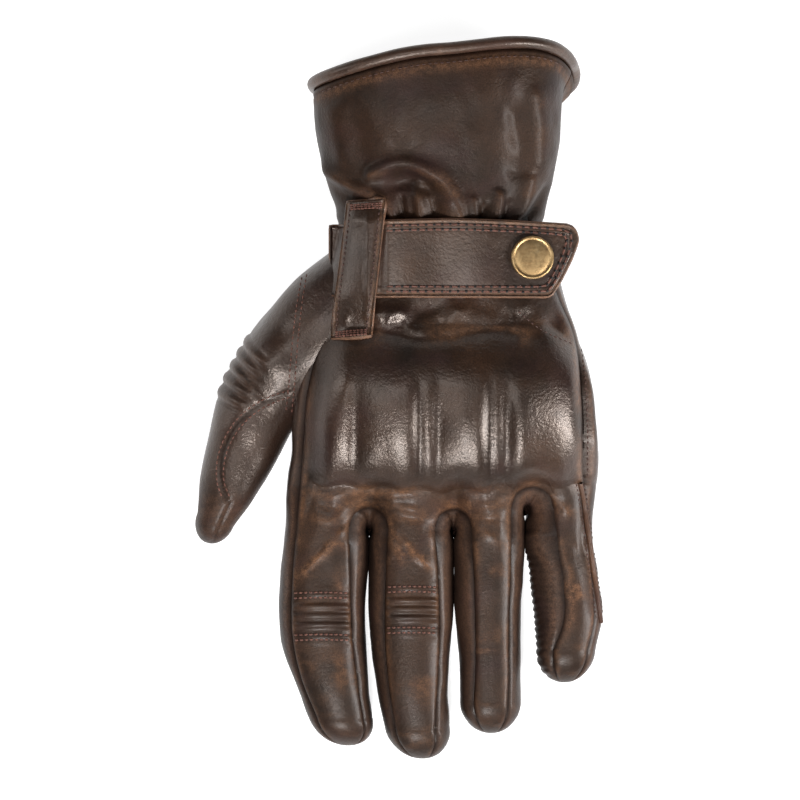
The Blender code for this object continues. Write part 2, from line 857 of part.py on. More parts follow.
def make_piping():
    """The rolled edge of the mouth: a round cord of hide all the way round."""
    count, sides = 40, 8
    line = [
        CUFF_TUBE.point(cuff_rim(angle) - PIPING_RADIUS - SEAM_GAP, angle, LEATHER / 2)
        for angle in steps(0, 360, count)[:-1]
    ]
    rings = []
    for i, centre in enumerate(line):
        forward = (line[(i + 1) % count] - line[i - 1]).normalized()
        side = forward.cross(Vector((0, 1, 0))).normalized()
        up = side.cross(forward).normalized()
        rings.append(
            [
                centre + (side * math.cos(t) + up * math.sin(t)) * PIPING_RADIUS
                for t in steps(0, math.tau, sides)[:-1]
            ]
        )
    faces = []
    for i in range(count):
        for j in range(sides):
            a, b = i * sides + j, i * sides + (j + 1) % sides
            c, d = (i + 1) % count * sides + (j + 1) % sides, (i + 1) % count * sides + j
            faces.append((a, b, c, d))
    mesh = bpy.data.meshes.new("cuff_piping")
    mesh.from_pydata([p for ring in rings for p in ring], [], faces)
    return finish("cuff_piping", mesh, hide())


# ---------------------------------------------------------------- strap and press stud


def snap_axis():
    slope = -(SNAP_X - STRAP_CREST_X) / STRAP_RADIUS
    return Vector((-slope, 0, 1)).normalized()


def snap_point(height):
    """A point on the press stud's axis, counted from the middle of the strap."""
    return Vector((SNAP_X, -SNAP_S, strap_height(SNAP_X))) + snap_axis() * height


def make_strap():
    half = STRAP_THICKNESS / 2
    centre_s = SNAP_S + 0.7

    def edges(x):
        """The strap's two long edges; the free end is a slanting tab with round corners."""
        low, high = centre_s - STRAP_HALF_WIDTH, centre_s + STRAP_HALF_WIDTH
        corner = max(x - (STRAP_END_X - 5.0), 0.0) / 5.0
        low += 4.5 * (1 - math.sqrt(max(1 - corner**2, 0.0)))
        slant = max(x - (STRAP_END_X - 12.0), 0.0) / 12.0
        high -= 20.0 * slant**1.35
        return low, high

    xs = steps(STRAP_HINGE_X + 0.6, 38.0, 6) + steps(38.0, STRAP_END_X - 5, 5)[1:]
    xs += [STRAP_END_X - 5 * (1 - share) for share in (0.35, 0.65, 0.85, 0.96, 1.0)]

    def grid(offset):
        made = []
        for x in xs:
            low, high = edges(x)
            made.append([Vector((x, -s, strap_height(x) + offset)) for s in steps(low, high, 6)])
        return made

    strap = between("strap", grid(half), grid(-half), hide())
    hole = turned(
        "strap_hole_cutter", [(0, -6), (2.2, -6), (2.2, 6), (0, 6)], snap_point(0), snap_axis(), hide(), 16
    )
    as_helper(hole)
    cut(strap, hole)
    plate(
        "strap_anchor",
        steps(-20.0, STRAP_HINGE_X - 1.3, 6),
        steps(centre_s - STRAP_HALF_WIDTH + 0.6, centre_s + STRAP_HALF_WIDTH - 0.6, 3),
        lambda x, s: HAND_TUBE.top(x, s) + 3.4,
        lambda x, s: HAND_TUBE.top(x, s) + 1.2,
        hide(),
    )
    make_keeper(centre_s)


def make_keeper(centre_s):
    """The loop that the strap passes through: low at its two sewn ends and high over the strap."""
    top_end, bottom_end = (-70.6, -12.8), (-21.6, -17.2)
    half_width = 6.6

    def grid(offset):
        made = []
        for s in steps(top_end[0], bottom_end[0], 14):
            share = (s - top_end[0]) / (bottom_end[0] - top_end[0])
            middle = top_end[1] + (bottom_end[1] - top_end[1]) * share
            over = ease(s, top_end[0] + 1, centre_s - STRAP_HALF_WIDTH - 0.2)
            over *= ease(-s, -bottom_end[0] + 1.0, -(centre_s + STRAP_HALF_WIDTH) - 0.2)
            lift = 0.5 + 3.6 * over + offset
            xs = steps(middle - half_width, middle + half_width, 5)
            made.append([Vector((x, -s, HAND_TUBE.top(x, s) + lift)) for x in xs])
        return made

    between("strap_keeper", grid(1.6), grid(0.0), hide())


def make_snap():
    """A press stud in four parts: cap and socket on the strap, stud and post on the glove."""
    top = STRAP_THICKNESS / 2
    axis = snap_axis()
    cap = [(0, 2.0), (3.5, 1.85), (6.2, 1.5), (7.2, 1.0), (CAP_RADIUS, 0.6), (7.2, 0.3)]
    cap += [(1.7, 0.3), (1.7, -3.1), (0, -3.1)]
    turned("snap_cap", cap, snap_point(top), axis, brass(), 28)
    socket = [(2.2, -0.3), (5.8, -0.3), (6.0, -0.8), (5.8, -2.1), (4.4, -2.1), (4.4, -0.9), (2.2, -0.9)]
    turned("snap_socket", socket, snap_point(-top), axis, steel(), 20)
    spring = [(3.5, -1.4), (3.85, -1.15), (4.15, -1.4), (3.85, -1.75)]
    turned("snap_spring", spring, snap_point(-top), axis, steel(), 20)
    stud = [(0, -1.2), (2.6, -1.3), (3.0, -1.7), (2.6, -2.2), (2.6, -2.4), (5.0, -2.45), (5.0, -2.8)]
    stud += [(1.8, -2.8), (1.8, -3.8), (0, -3.8)]
    turned("snap_stud", stud, snap_point(-top), axis, steel(), 20)
    post = [(0, -4.1), (1.7, -4.1), (1.7, -5.0), (2.9, -5.05), (2.9, -5.4), (0, -5.4)]
    turned("snap_post", post, snap_point(-top), axis, steel(), 20)


def main():
    for obj in list(bpy.data.objects):
        bpy.data.objects.remove(obj)
    make_hand()
    make_armour()
    make_palm_reinforcement()
    make_finger_bases()
    for name in FINGER_TUBES:
        make_fingertip(name)
    make_thumb()
    make_cuff()
    make_strap()
    make_snap()


main()
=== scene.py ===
"""The soft look of the left riding glove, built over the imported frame.

Lengths are millimetres until a mesh is made. s is the distance from the glove's middle towards the
fingertips, so s = -y. The back of the hand faces +Z.
"""

import json
import math

import bpy
import numpy as np
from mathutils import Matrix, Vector
from mathutils.bvhtree import BVHTree

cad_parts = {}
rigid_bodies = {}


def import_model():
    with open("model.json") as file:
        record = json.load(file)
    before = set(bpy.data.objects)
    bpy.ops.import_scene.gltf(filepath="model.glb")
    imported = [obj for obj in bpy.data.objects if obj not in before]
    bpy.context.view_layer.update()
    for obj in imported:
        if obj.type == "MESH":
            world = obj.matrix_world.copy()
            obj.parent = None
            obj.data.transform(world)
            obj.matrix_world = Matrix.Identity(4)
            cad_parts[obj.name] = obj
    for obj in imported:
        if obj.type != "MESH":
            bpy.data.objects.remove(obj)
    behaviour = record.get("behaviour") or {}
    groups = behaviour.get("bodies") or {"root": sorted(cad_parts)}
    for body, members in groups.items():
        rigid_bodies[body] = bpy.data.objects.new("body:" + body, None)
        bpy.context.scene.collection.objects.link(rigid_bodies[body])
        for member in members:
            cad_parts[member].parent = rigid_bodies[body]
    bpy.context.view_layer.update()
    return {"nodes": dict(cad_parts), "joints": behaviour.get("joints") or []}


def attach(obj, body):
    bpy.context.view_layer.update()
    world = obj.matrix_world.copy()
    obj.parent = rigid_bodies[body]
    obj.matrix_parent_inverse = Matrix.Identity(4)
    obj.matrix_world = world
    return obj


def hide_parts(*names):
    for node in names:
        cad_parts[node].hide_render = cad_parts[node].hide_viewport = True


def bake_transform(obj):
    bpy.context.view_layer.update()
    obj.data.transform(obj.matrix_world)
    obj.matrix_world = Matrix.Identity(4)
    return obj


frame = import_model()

CUT_S = 50.0  # the hand's sheets end here and the finger tubes start
CUFF_S = -61.0  # the cuff's tube starts here
SEAM_WIDTH = 0.75
# How square the sections are: 2 is an ellipse
BODY_POWER = 2.7
FINGER_POWER = 2.4
THUMB_POWER = 2.3
PER_RADIAN = 57.3  # degrees

# Sections of the hand and cuff: s, centre x, centre z, half width, half height
BODY = np.array(
    [
        (-125.0, 13.6, 34.2, 44.6, 32.4),
        (-105.0, 13.2, 32.6, 43.5, 31.0),
        (-91.0, 13.4, 30.2, 42.3, 28.6),
        (-77.0, 13.5, 27.8, 39.6, 25.8),
        (-64.0, 14.0, 26.8, 36.4, 23.6),
        (-49.0, 14.9, 26.2, 39.5, 22.8),
        (-35.0, 14.7, 25.6, 43.6, 22.4),
        (-21.0, 14.7, 25.2, 48.0, 22.0),
        (-7.0, 15.2, 24.8, 51.5, 21.6),
        (7.0, 15.2, 24.1, 53.2, 21.0),
        (21.0, 15.4, 22.7, 54.0, 19.6),
        (35.0, 14.5, 20.4, 54.3, 17.4),
        (50.0, 14.0, 17.0, 54.5, 15.0),
    ]
)
# Sections of the fingers, with the same columns
FINGERS = {
    "index": np.array(
        [
            (30.0, -25.0, 20.0, 14.5, 16.6),
            (56.0, -26.4, 17.3, 15.35, 14.8),
            (75.0, -27.4, 15.4, 15.2, 13.6),
            (88.0, -26.6, 14.0, 14.6, 12.8),
            (101.5, -23.6, 12.5, 12.6, 11.8),
            (112.0, -20.9, 11.2, 11.1, 10.6),
        ]
    ),
    "middle": np.array(
        [
            (30.0, 3.9, 20.3, 14.3, 16.8),
            (56.0, 4.05, 17.6, 14.95, 15.0),
            (75.0, 3.75, 15.7, 14.95, 13.8),
            (91.0, 4.0, 14.0, 13.6, 12.8),
            (105.0, 4.7, 12.4, 12.3, 11.8),
            (115.5, 6.2, 11.3, 11.4, 10.7),
        ]
    ),
    "ring": np.array(
        [
            (30.0, 31.2, 20.0, 12.6, 16.5),
            (56.0, 31.35, 17.0, 12.35, 14.2),
            (70.0, 30.85, 15.4, 11.75, 13.2),
            (94.5, 31.7, 12.9, 10.9, 11.7),
            (106.0, 31.9, 11.7, 10.8, 10.9),
        ]
    ),
    "little": np.array(
        [
            (27.0, 57.4, 19.0, 11.2, 15.0),
            (50.0, 56.0, 15.8, 12.2, 13.0),
            (61.0, 57.7, 14.7, 12.0, 12.3),
            (76.0, 59.3, 13.1, 11.9, 11.4),
            (88.0, 58.7, 11.9, 10.4, 10.7),
        ]
    ),
}
NAMES = list(FINGERS)
# The fingertips, as s
TIP = {"index": 122.0, "middle": 126.6, "ring": 117.6, "little": 99.7}
# Seams between a finger's back and its walls: s, x of the thumb-side seam, x of the other seam
SEAMS = {
    "index": np.array(
        [
            (-62, -21.5, -8), (-35, -23.6, -8), (-19, -28.9, -10), (0, -33.2, -12), (14, -34.1, -14),
            (28, -35.2, -16.6), (45, -36.6, -17.3), (62, -38.0, -16.9), (84, -38.0, -16.2),
            (98, -35.0, -14.6), (112, -29.5, -12.5),
        ]
    ),
    "middle": np.array(
        [
            (-62, -4, 12), (0, -3, 13), (28, -3.8, 13), (45, -4.6, 12.8), (62, -5.4, 13.8), (84, -5.6, 14.4),
            (98, -4.6, 13.8), (116, -2.0, 12.5),
        ]
    ),
    "ring": np.array(
        [
            (-62, 16, 28), (0, 22, 35), (28, 24.2, 39), (45, 24.6, 39.5), (62, 25.6, 39.2), (84, 26.2, 38.6),
            (98, 26.0, 38.6), (106, 25.6, 38.2),
        ]
    ),
    "little": np.array(
        [
            (-62, 34, 48), (-50, 36, 51), (-35, 40, 56), (-25, 43, 60.4), (0, 49, 63.8), (28, 53, 64.4),
            (38, 53.4, 64.8), (50, 55.0, 66.4), (66, 57.4, 68.0), (78, 57.2, 68.6), (88, 53.6, 66.2),
        ]
    ),
}  # fmt: skip
# Where the gap after each finger ends on the back, as s, and how much further out it ends on the palm
ARCH_TOP = {"index": 38.2, "middle": 38.8, "ring": 31.0}
PALM_ARCH_SHIFT = 4.0


def rows(table, s):
    """The rows of a table at the lengths s, which may have any shape, by cubic interpolation."""
    at = table[:, 0]
    s = np.clip(np.atleast_1d(np.asarray(s, float)), at[0], at[-1])
    slopes = np.gradient(table, at, axis=0)
    i = np.clip(np.searchsorted(at, s) - 1, 0, len(at) - 2)
    h = (at[i + 1] - at[i])[..., None]
    t = (s[..., None] - at[i][..., None]) / h
    e = t * t * (3 - 2 * t)
    return (
        (1 - e) * table[i]
        + e * table[i + 1]
        + t * (1 - t) ** 2 * h * slopes[i]
        - t * t * (1 - t) * h * slopes[i + 1]
    )


def ease(x, low, high):
    """A smooth step: 0 up to low and 1 from high on."""
    t = np.clip((np.asarray(x, float) - low) / (high - low), 0, 1)
    return t * t * (3 - 2 * t)


def bell(x, centre, width):
    """A smooth bump that is 1 at its centre."""
    return np.exp(-(((np.asarray(x, float) - centre) / width) ** 2))


def hashed(ix, iy, iz, seed):
    """A value between -1 and 1 for each cell, always the same for the same cell."""
    n = (ix * 374761393 + iy * 668265263 + iz * 2147483647 + seed * 1274126177) & 0xFFFFFFFF
    n = ((n ^ (n >> 13)) * 1274126177) & 0xFFFFFFFF
    return ((n ^ (n >> 16)) & 0xFFFF) / 32767.5 - 1


def noise(p, size, seed=0):
    """Smooth noise between -1 and 1 at points p, of shape (..., 3), with lumps about size across."""
    q = np.asarray(p, float) / size
    base = np.floor(q).astype(np.int64)
    f = q - base
    f = f * f * (3 - 2 * f)
    total = 0
    for dx in (0, 1):
        for dy in (0, 1):
            for dz in (0, 1):
                corner = np.array((dx, dy, dz))
                w = np.where(corner, f, 1 - f)
                cell = base + corner
                w = w[..., 0] * w[..., 1] * w[..., 2]
                total = total + w * hashed(cell[..., 0], cell[..., 1], cell[..., 2], seed)
    return total


def flat(x, s):
    """Points for noise on the flat pattern of the glove."""
    return np.stack([x, s, np.zeros_like(x)], -1)


def seam_groove_shade(away, depth=0.6):
    """How deep the sunk line along a seam is at points away from it; the same amount is painted as shade in the
    seam.
    """
    return depth * bell(away, 0, SEAM_WIDTH)


def round_section(angle, power):
    """Where a rounded box's outline lies across and up, as shares of its half width and half height."""
    c, q = np.cos(np.radians(angle)), np.sin(np.radians(angle))
    return np.sign(c) * np.abs(c) ** (2 / power), np.sign(q) * np.abs(q) ** (2 / power)


def tip_closing(s, last, tip):
    """How much a tube narrows and how far it reaches past its last section, to close into a round tip."""
    turn = np.clip((s - last) / (tip - last), 0, 1) * math.pi / 2 * 0.985
    return np.where(s > last, np.cos(turn), 1.0), np.where(s > last, np.sin(turn), 0.0)


def smooth_line(points, count=60):
    """A smooth line through some points in (x, s)."""
    points = np.array(points, float)
    for _ in range(3):
        if len(points) < 3:
            break
        a, b = points[:-1], points[1:]
        cut = np.stack([0.75 * a + 0.25 * b, 0.25 * a + 0.75 * b], 1).reshape(-1, 2)
        points = np.concatenate([points[:1], cut, points[-1:]])
    length = np.concatenate([[0], np.cumsum(np.linalg.norm(np.diff(points, axis=0), axis=1))])
    at = np.linspace(0, length[-1], count)
    return np.stack([np.interp(at, length, points[:, k]) for k in range(2)], 1)


# ---------------------------------------------------------------- heights

# The knuckle guard near the fingers, one dome for each knuckle and a narrow rib between them: x, height
ARMOUR = np.array(
    [
        (-33, 0), (-31, 2.4), (-28, 6.0), (-25.4, 8.2), (-23.2, 8.8), (-18.6, 8.2), (-15.6, 6.9), (-12.4, 7.9),
        (-8.5, 8.8), (-2, 9.3), (3.8, 9.0), (6.7, 7.3), (9.0, 8.0), (10.7, 8.0), (13.0, 6.8), (17.2, 7.9),
        (21.5, 8.9), (28.4, 9.1), (31.0, 7.4), (33.2, 8.2), (34.7, 8.2), (37.0, 7.0), (40.0, 8.9), (42, 9.5),
        (45, 9.3), (50, 9.0), (56, 8.9), (61, 8.5), (63.5, 6.4), (66, 2.4), (68, 0),
    ]
)  # fmt: skip


def armour(x, s):
    """How far the moulded guard lifts the hide: a long dome whose flutes deepen towards the fingers."""
    shape = 0
    for offset in (-1.6, -0.8, 0, 0.8, 1.6):
        shape = shape + np.interp(x + offset, ARMOUR[:, 0], ARMOUR[:, 1]) / 5
    outline = 9.0 * ease(x, -33, -18) * ease(-x, -68, -59)
    fluted = ease(s, -18, 15)
    profile = outline * (1 - fluted) + shape * fluted
    low_edge = 29.5 + 1.2 * np.cos((x - 14) / 48 * math.pi) + 1.6 * np.cos((x - 1) / 13.5 * math.tau / 2) ** 2
    high_edge = -26.5 + 9.0 * (1 - ease(x, -34, -14)) + 7.0 * ease(x, 50, 64)
    crest = -3.0
    low_share = np.clip((s - crest) / (low_edge - crest), 0, 1)
    high_share = np.clip((crest - s) / (crest - high_edge), 0, 1)
    dome = np.where(s > crest, (1 - low_share**2.2) ** 0.55, (1 - high_share**2.0) ** 1.1)
    return profile * dome


def section_height(table, x, s, power, side, limit):
    """The height of the sections' outline at x: of its upper half, or of its lower half with side -1."""
    r = rows(table, s)
    u = np.clip(np.abs((x - r[..., 1]) / r[..., 3]), 0, limit)
    return r[..., 2] + side * r[..., 4] * (1 - u**power) ** (1 / power)


def sheet_height(x, s, side=1):
    """The height of the hide over a point of the back, or under a point of the palm with side -1."""
    whole = section_height(BODY, x, s, BODY_POWER, side, 0.975)
    own = [section_height(FINGERS[n], x, s, FINGER_POWER, side, 0.9) for n in NAMES]
    own = np.max(own, axis=0) if side > 0 else np.min(own, axis=0)
    share = np.maximum(ease(s, 22, 46), ease(np.abs(x - 15), 40, 50) * ease(s, 12, 34))
    return whole * (1 - share) + own * share


# Creases between the guard and the fingers: height, half width, then points in (x, s)
CREASES = [
    (0.55, 1.1, ((-17.1, 42.6), (-29.7, 55.4), (-36.2, 63.0))),
    (0.45, 1.0, ((-17.4, 51.6), (-21.2, 48.8), (-29.7, 56.3))),
    (0.5, 1.3, ((-32.6, 39.2), (-25.0, 43.0), (-17.4, 39.3))),
    (0.55, 1.1, ((-4.3, 44.0), (4.2, 52.5), (11.7, 60.0))),
    (0.4, 1.0, ((-3.3, 48.8), (1.4, 57.1))),
    (0.6, 1.2, ((-16.0, 39.3), (-13.6, 34.7), (-5.2, 36.4), (9.8, 39.3))),
    (0.55, 1.2, ((23.3, 41.6), (27.8, 46.0), (36.4, 49.5))),
    (0.6, 1.3, ((11.9, 35.4), (23.3, 37.0), (32.1, 37.0), (39.2, 34.7))),
    (0.5, 1.3, ((47.8, 31.9), (54.0, 35.4), (61.1, 40.7))),
    (0.6, 1.4, ((-34, 31), (-24, 34), (-14, 31.5), (-4, 34), (8, 32))),
    (-0.7, 1.2, ((-30, 36.5), (-22, 38), (-14, 35.5))),
    (-0.6, 1.3, ((-2, 40), (6, 42), (12, 40.5))),
    (-0.6, 1.3, ((24, 40.0), (32, 42.0), (37, 40))),
]


def crease_lift(x, s):
    """The height of the creases, and how near each point is to one, from 0 to 1."""
    lift, near = np.zeros_like(x), np.zeros_like(x)
    zone = (s > 24) & (s < 72)
    if not zone.any():
        return lift, near
    for height, width, curve in CREASES:
        line = smooth_line(curve, 20)
        away = near_edges(x[zone], s[zone], [line])
        from_ends = [np.hypot(x[zone] - end[0], s[zone] - end[1]) for end in (line[0], line[-1])]
        fade = ease(np.minimum(*from_ends), 0.0, 5.0)
        lift[zone] += height * np.exp(-((away / width) ** 2)) * fade
        near[zone] = np.maximum(near[zone], np.exp(-((away / (1.5 * width)) ** 2)) * (0.35 + 0.65 * fade))
    return lift, near


def back_detail(x, s):
    """Folds and bulges of the back of the hand, added to its height."""
    at = flat(x, s)
    z = armour(x, s) + 0.75 * crease_lift(x, s)[0]
    across = ease(x, -22, -6) * ease(-x, -58, -44)
    z = z + 1.0 * bell(s, -29.5 + 2.0 * np.sin(x / 9), 5.2) * across
    z = z - 0.7 * bell(s, -22.4 + 1.6 * np.sin(x / 7), 2.2) * ease(x, -18, -8) * ease(-x, -52, -40)
    z = z + 1.2 * noise(at * [1.2, 1.3, 1], 8.0, 3) * bell(s, -29, 7)
    z = z + 1.3 * (0.6 - np.abs(noise(at * [1.5, 1.2, 1], 8.0, 7))) * bell(s, -29, 6)
    between = ease(s, 27, 33) * (1 - ease(s, 52, 60))
    ridged = 1 - np.abs(noise(at * [1.3, 0.8, 1], 7.0, 5))
    z = z + 0.35 * (ridged - 0.6) * between
    return z + 0.28 * noise(at, 11.0, 9) * ease(s, -60, -50)


def seam_x(name, s, side):
    """Where a finger's seam runs across the back: side is -1 for the thumb's side and 1 for the other."""
    return rows(SEAMS[name], s)[..., 1 if side < 0 else 2]


# ---------------------------------------------------------------- mesh making


SAME_POINT = 0.004  # points nearer than about this are one
METRES = 0.001  # in a millimetre


class Skin:
    """A surface made of named pieces that share points and normals, so that its splits don't show."""

    def __init__(self):
        self.points = []
        self.faces = []
        self.labels = []
        self.groove_shade = []
        self.wear = []
        self.count = 0

    def grid(self, points, label, groove_shade, wear, ring=False, flip=False, keep=None):
        """Adds a grid of points (rows, columns, 3). label and keep depend on a face's row and column."""
        n, m = points.shape[:2]
        base = self.count
        self.points.append(points.reshape(-1, 3))
        self.groove_shade.append(groove_shade.reshape(-1))
        self.wear.append(wear.reshape(-1))
        self.count += n * m
        for i in range(n - 1):
            for j in range(m if ring else m - 1):
                if keep is not None and not keep(i, j):
                    continue
                a, b = base + i * m + j, base + i * m + (j + 1) % m
                c, d = b + m, a + m
                self.faces.append((a, d, c, b) if flip else (a, b, c, d))
                self.labels.append(label(i, j))

    def build(self):
        """Merges shared points and sinks the seams along the normals by groove_shade, the same amount that is
        painted as shade in them.

        Returns {label: (points, faces, normals, groove_shade, wear)}.
        """
        points = np.concatenate(self.points)
        groove_shade, wear = np.concatenate(self.groove_shade), np.concatenate(self.wear)
        key = np.round(points / SAME_POINT).astype(np.int64)
        _, first, index = np.unique(key, axis=0, return_index=True, return_inverse=True)
        index = index.reshape(-1)
        groove_shade_max = np.zeros(len(first))
        np.maximum.at(groove_shade_max, index, groove_shade)
        wear_max = np.zeros(len(first))
        np.maximum.at(wear_max, index, wear)
        points, groove_shade, wear = points[first], groove_shade_max, wear_max
        faces = index[np.array(self.faces)]
        normals = vertex_normals(points, faces)
        points = points - normals * groove_shade[:, None]
        normals = vertex_normals(points, faces)
        labels = np.array(self.labels)
        made = {}
        for label in dict.fromkeys(self.labels):
            if label == "drop":
                continue
            mine = faces[labels == label]
            used, back = np.unique(mine, return_inverse=True)
            made[label] = (points[used], back.reshape(mine.shape), normals[used], groove_shade[used], wear[used])
        return made


def vertex_normals(points, faces):
    """The normals of a surface of four-sided faces."""
    a, b, c, d = (points[faces[:, k]] for k in range(4))
    cross = np.cross(c - a, d - b)
    normals = np.zeros_like(points)
    for k in range(4):
        np.add.at(normals, faces[:, k], cross)
    return normals / np.maximum(np.linalg.norm(normals, axis=1), 1e-9)[:, None]


def add_to_scene(name, data):
    obj = bpy.data.objects.new(name, data)
    bpy.context.scene.collection.objects.link(obj)
    return obj


def new_mesh(name, points, faces, look, normals=None, attributes=None):
    """An object made of points in millimetres, which its materials read again as "rest"."""
    mesh = bpy.data.meshes.new(name)
    clean = []
    for face in faces:
        loop = [int(v) for k, v in enumerate(face) if v != face[k - 1]]
        if len(set(loop)) > 2:
            clean.append(loop)
    mesh.from_pydata((np.asarray(points) * METRES).tolist(), [], clean)
    mesh.shade_smooth()
    rest = mesh.attributes.new("rest", "FLOAT_VECTOR", "POINT")
    rest.data.foreach_set("vector", np.asarray(points, np.float32).ravel())
    for key, values in (attributes or {}).items():
        made = mesh.attributes.new(key, "FLOAT", "POINT")
        made.data.foreach_set("value", np.asarray(values, np.float32))
    if normals is not None:
        mesh.normals_split_custom_set_from_vertices(np.asarray(normals, float).tolist())
    mesh.materials.append(look)
    return add_to_scene(name, mesh)


def put(name, data, look):
    """An object made of one piece of a built skin."""
    points, faces, normals, groove_shade, wear = data
    return new_mesh(name, points, faces, look, normals, {"groove_shade": groove_shade, "wear": wear})


# ---------------------------------------------------------------- materials


class Nodes:
    """Short calls for building a node material."""

    def __init__(self, name):
        self.material = bpy.data.materials.new(name)
        self.material.use_nodes = True
        self.tree = self.material.node_tree
        self.shader = self.tree.nodes["Principled BSDF"]

    def add(self, kind, **values):
        node = self.tree.nodes.new(kind)
        for key, value in values.items():
            setattr(node, key, value)
        return node

    def link(self, a, b):
        self.tree.links.new(a, b)

    def ramp(self, fac, stops):
        node = self.add("ShaderNodeValToRGB")
        elements = node.color_ramp.elements
        while len(elements) < len(stops):
            elements.new(0.5)
        for element, (at, colour) in zip(elements, stops, strict=True):
            element.position = at
            element.color = (*colour, 1) if len(colour) == 3 else (colour[0],) * 3 + (1,)
        self.link(fac, node.inputs["Fac"])
        return node.outputs["Color"]

    def math(self, operation, a, b=None, clamp=False):
        node = self.add("ShaderNodeMath", operation=operation, use_clamp=clamp)
        for socket, value in zip(node.inputs, (a, b), strict=False):
            if value is None:
                continue
            if isinstance(value, (int, float)):
                socket.default_value = value
            else:
                self.link(value, socket)
        return node.outputs[0]

    def mix(self, fac, a, b):
        node = self.add("ShaderNodeMix", data_type="RGBA")
        for socket, value in ((node.inputs[0], fac), (node.inputs[6], a), (node.inputs[7], b)):
            if isinstance(value, (int, float)):
                socket.default_value = value
            elif isinstance(value, tuple):
                socket.default_value = (*value, 1)
            else:
                self.link(value, socket)
        return node.outputs[2]

    def noise(self, vector, scale, detail=4.0, roughness=0.55, distortion=0.0):
        node = self.add("ShaderNodeTexNoise")
        node.inputs["Scale"].default_value = scale
        node.inputs["Detail"].default_value = detail
        node.inputs["Roughness"].default_value = roughness
        node.inputs["Distortion"].default_value = distortion
        self.link(vector, node.inputs["Vector"])
        return node.outputs["Fac"]

    def rest(self):
        return self.add("ShaderNodeAttribute", attribute_name="rest").outputs["Vector"]

    def value(self, name):
        return self.add("ShaderNodeAttribute", attribute_name=name).outputs["Fac"]

    def along(self, y, start, rate):
        """A share from 0 to 1 that grows towards the fingertips, from the distance start on."""
        return self.math("MULTIPLY", self.math("ADD", self.math("MULTIPLY", y, -1.0), -start), rate, clamp=True)

    def bump(self, height, strength, distance):
        node = self.add("ShaderNodeBump")
        node.inputs["Strength"].default_value = strength
        node.inputs["Distance"].default_value = distance
        self.link(height, node.inputs["Height"])
        self.link(node.outputs["Normal"], self.shader.inputs["Normal"])


DARK = (0.0072, 0.0040, 0.0028)
MID = (0.038, 0.0182, 0.0102)
WORN = (0.19, 0.088, 0.042)
PLUM = (0.034, 0.016, 0.017)
# painted shade: the near-black colour put into seams and hollows
SEAM_SHADE = (0.006, 0.0032, 0.0024)


def leather(name, dark=DARK, mid=MID, worn=WORN, rough=0.345, shine=0.5):
    """Waxed hide: cloudy brown, rubbed lighter by "wear", painted darker with shade where "groove_shade" marks
    seams and hollows, darker towards the fingertips and duller on the fingers.
    """
    n = Nodes(name)
    at = n.rest()
    clouds = n.noise(at, 0.035, 5.0, 0.6)
    base = n.ramp(clouds, [(0.34, dark), (0.66, mid)])
    plum = n.noise(at, 0.06, 3.0, 0.5, 0.4)
    base = n.mix(n.ramp(plum, [(0.5, (0.0,)), (0.75, (0.45,))]), base, PLUM)
    streaks = n.noise(at, 0.42, 8.0, 0.72)
    rubbed = n.ramp(streaks, [(0.36, (0.15,)), (0.62, (1.0,))])
    wear = n.math("MULTIPLY", n.value("wear"), rubbed, clamp=True)
    base = n.mix(wear, base, worn)
    place = n.add("ShaderNodeSeparateXYZ")
    n.link(at, place.inputs[0])
    tips = n.along(place.outputs["Y"], 72.0, 0.03)
    base = n.mix(n.math("MULTIPLY", tips, 0.45), base, dark)
    fine = n.noise(at, 2.2, 6.0, 0.7)
    base = n.mix(n.ramp(fine, [(0.38, (0.6,)), (0.58, (0.0,))]), base, tuple(0.5 * v for v in dark))
    # painted shade: seams, flutes, rib valleys and hollows marked by groove_shade are painted nearly black
    base = n.mix(n.math("MULTIPLY", n.value("groove_shade"), 1.35, clamp=True), base, SEAM_SHADE)
    n.link(base, n.shader.inputs["Base Color"])
    polish = n.ramp(n.noise(at, 0.09, 4.0, 0.6), [(0.3, (rough - 0.03,)), (0.7, (rough + 0.07,))])
    matte = n.along(place.outputs["Y"], 25.0, 0.1)
    dulled = n.math("ADD", polish, n.math("MULTIPLY", n.value("wear"), 0.20))
    dulled = n.math("ADD", dulled, n.math("MULTIPLY", matte, 0.12))
    n.link(dulled, n.shader.inputs["Roughness"])
    # the sheen is also turned down where groove_shade paints shade
    glint = n.math("SUBTRACT", shine, n.math("MULTIPLY", n.value("groove_shade"), 0.45), clamp=True)
    glint = n.math("MULTIPLY", glint, n.math("SUBTRACT", 1.0, n.math("MULTIPLY", matte, 0.6)))
    n.link(glint, n.shader.inputs["Specular IOR Level"])
    n.shader.inputs["Coat Weight"].default_value = 0.16 * shine
    n.shader.inputs["Specular Tint"].default_value = (1.0, 0.84, 0.74, 1.0)
    n.shader.inputs["Coat Roughness"].default_value = 0.25
    pores = n.add("ShaderNodeTexVoronoi", feature="DISTANCE_TO_EDGE")
    pores.inputs["Scale"].default_value = 0.8
    n.link(at, pores.inputs["Vector"])
    crinkle = n.noise(at, 0.62, 2.0, 0.6)
    creases = n.math("MULTIPLY", n.ramp(pores.outputs["Distance"], [(0.0, (0.0,)), (0.3, (1.0,))]), 0.07)
    grain = n.noise(at, 2.2, 1.0, 0.5)
    height = n.math("ADD", creases, n.math("MULTIPLY", crinkle, 0.5))
    height = n.math("ADD", height, n.math("MULTIPLY", grain, 0.05))
    n.bump(height, 0.55, 0.0006)
    return n.material


def thread(name, low, high):
    """Rough thread whose colour wanders between low and high."""
    n = Nodes(name)
    tint = n.noise(n.rest(), 1.2, 3.0)
    n.link(n.ramp(tint, [(0.3, low), (0.7, high)]), n.shader.inputs["Base Color"])
    n.shader.inputs["Roughness"].default_value = 0.75
    return n.material


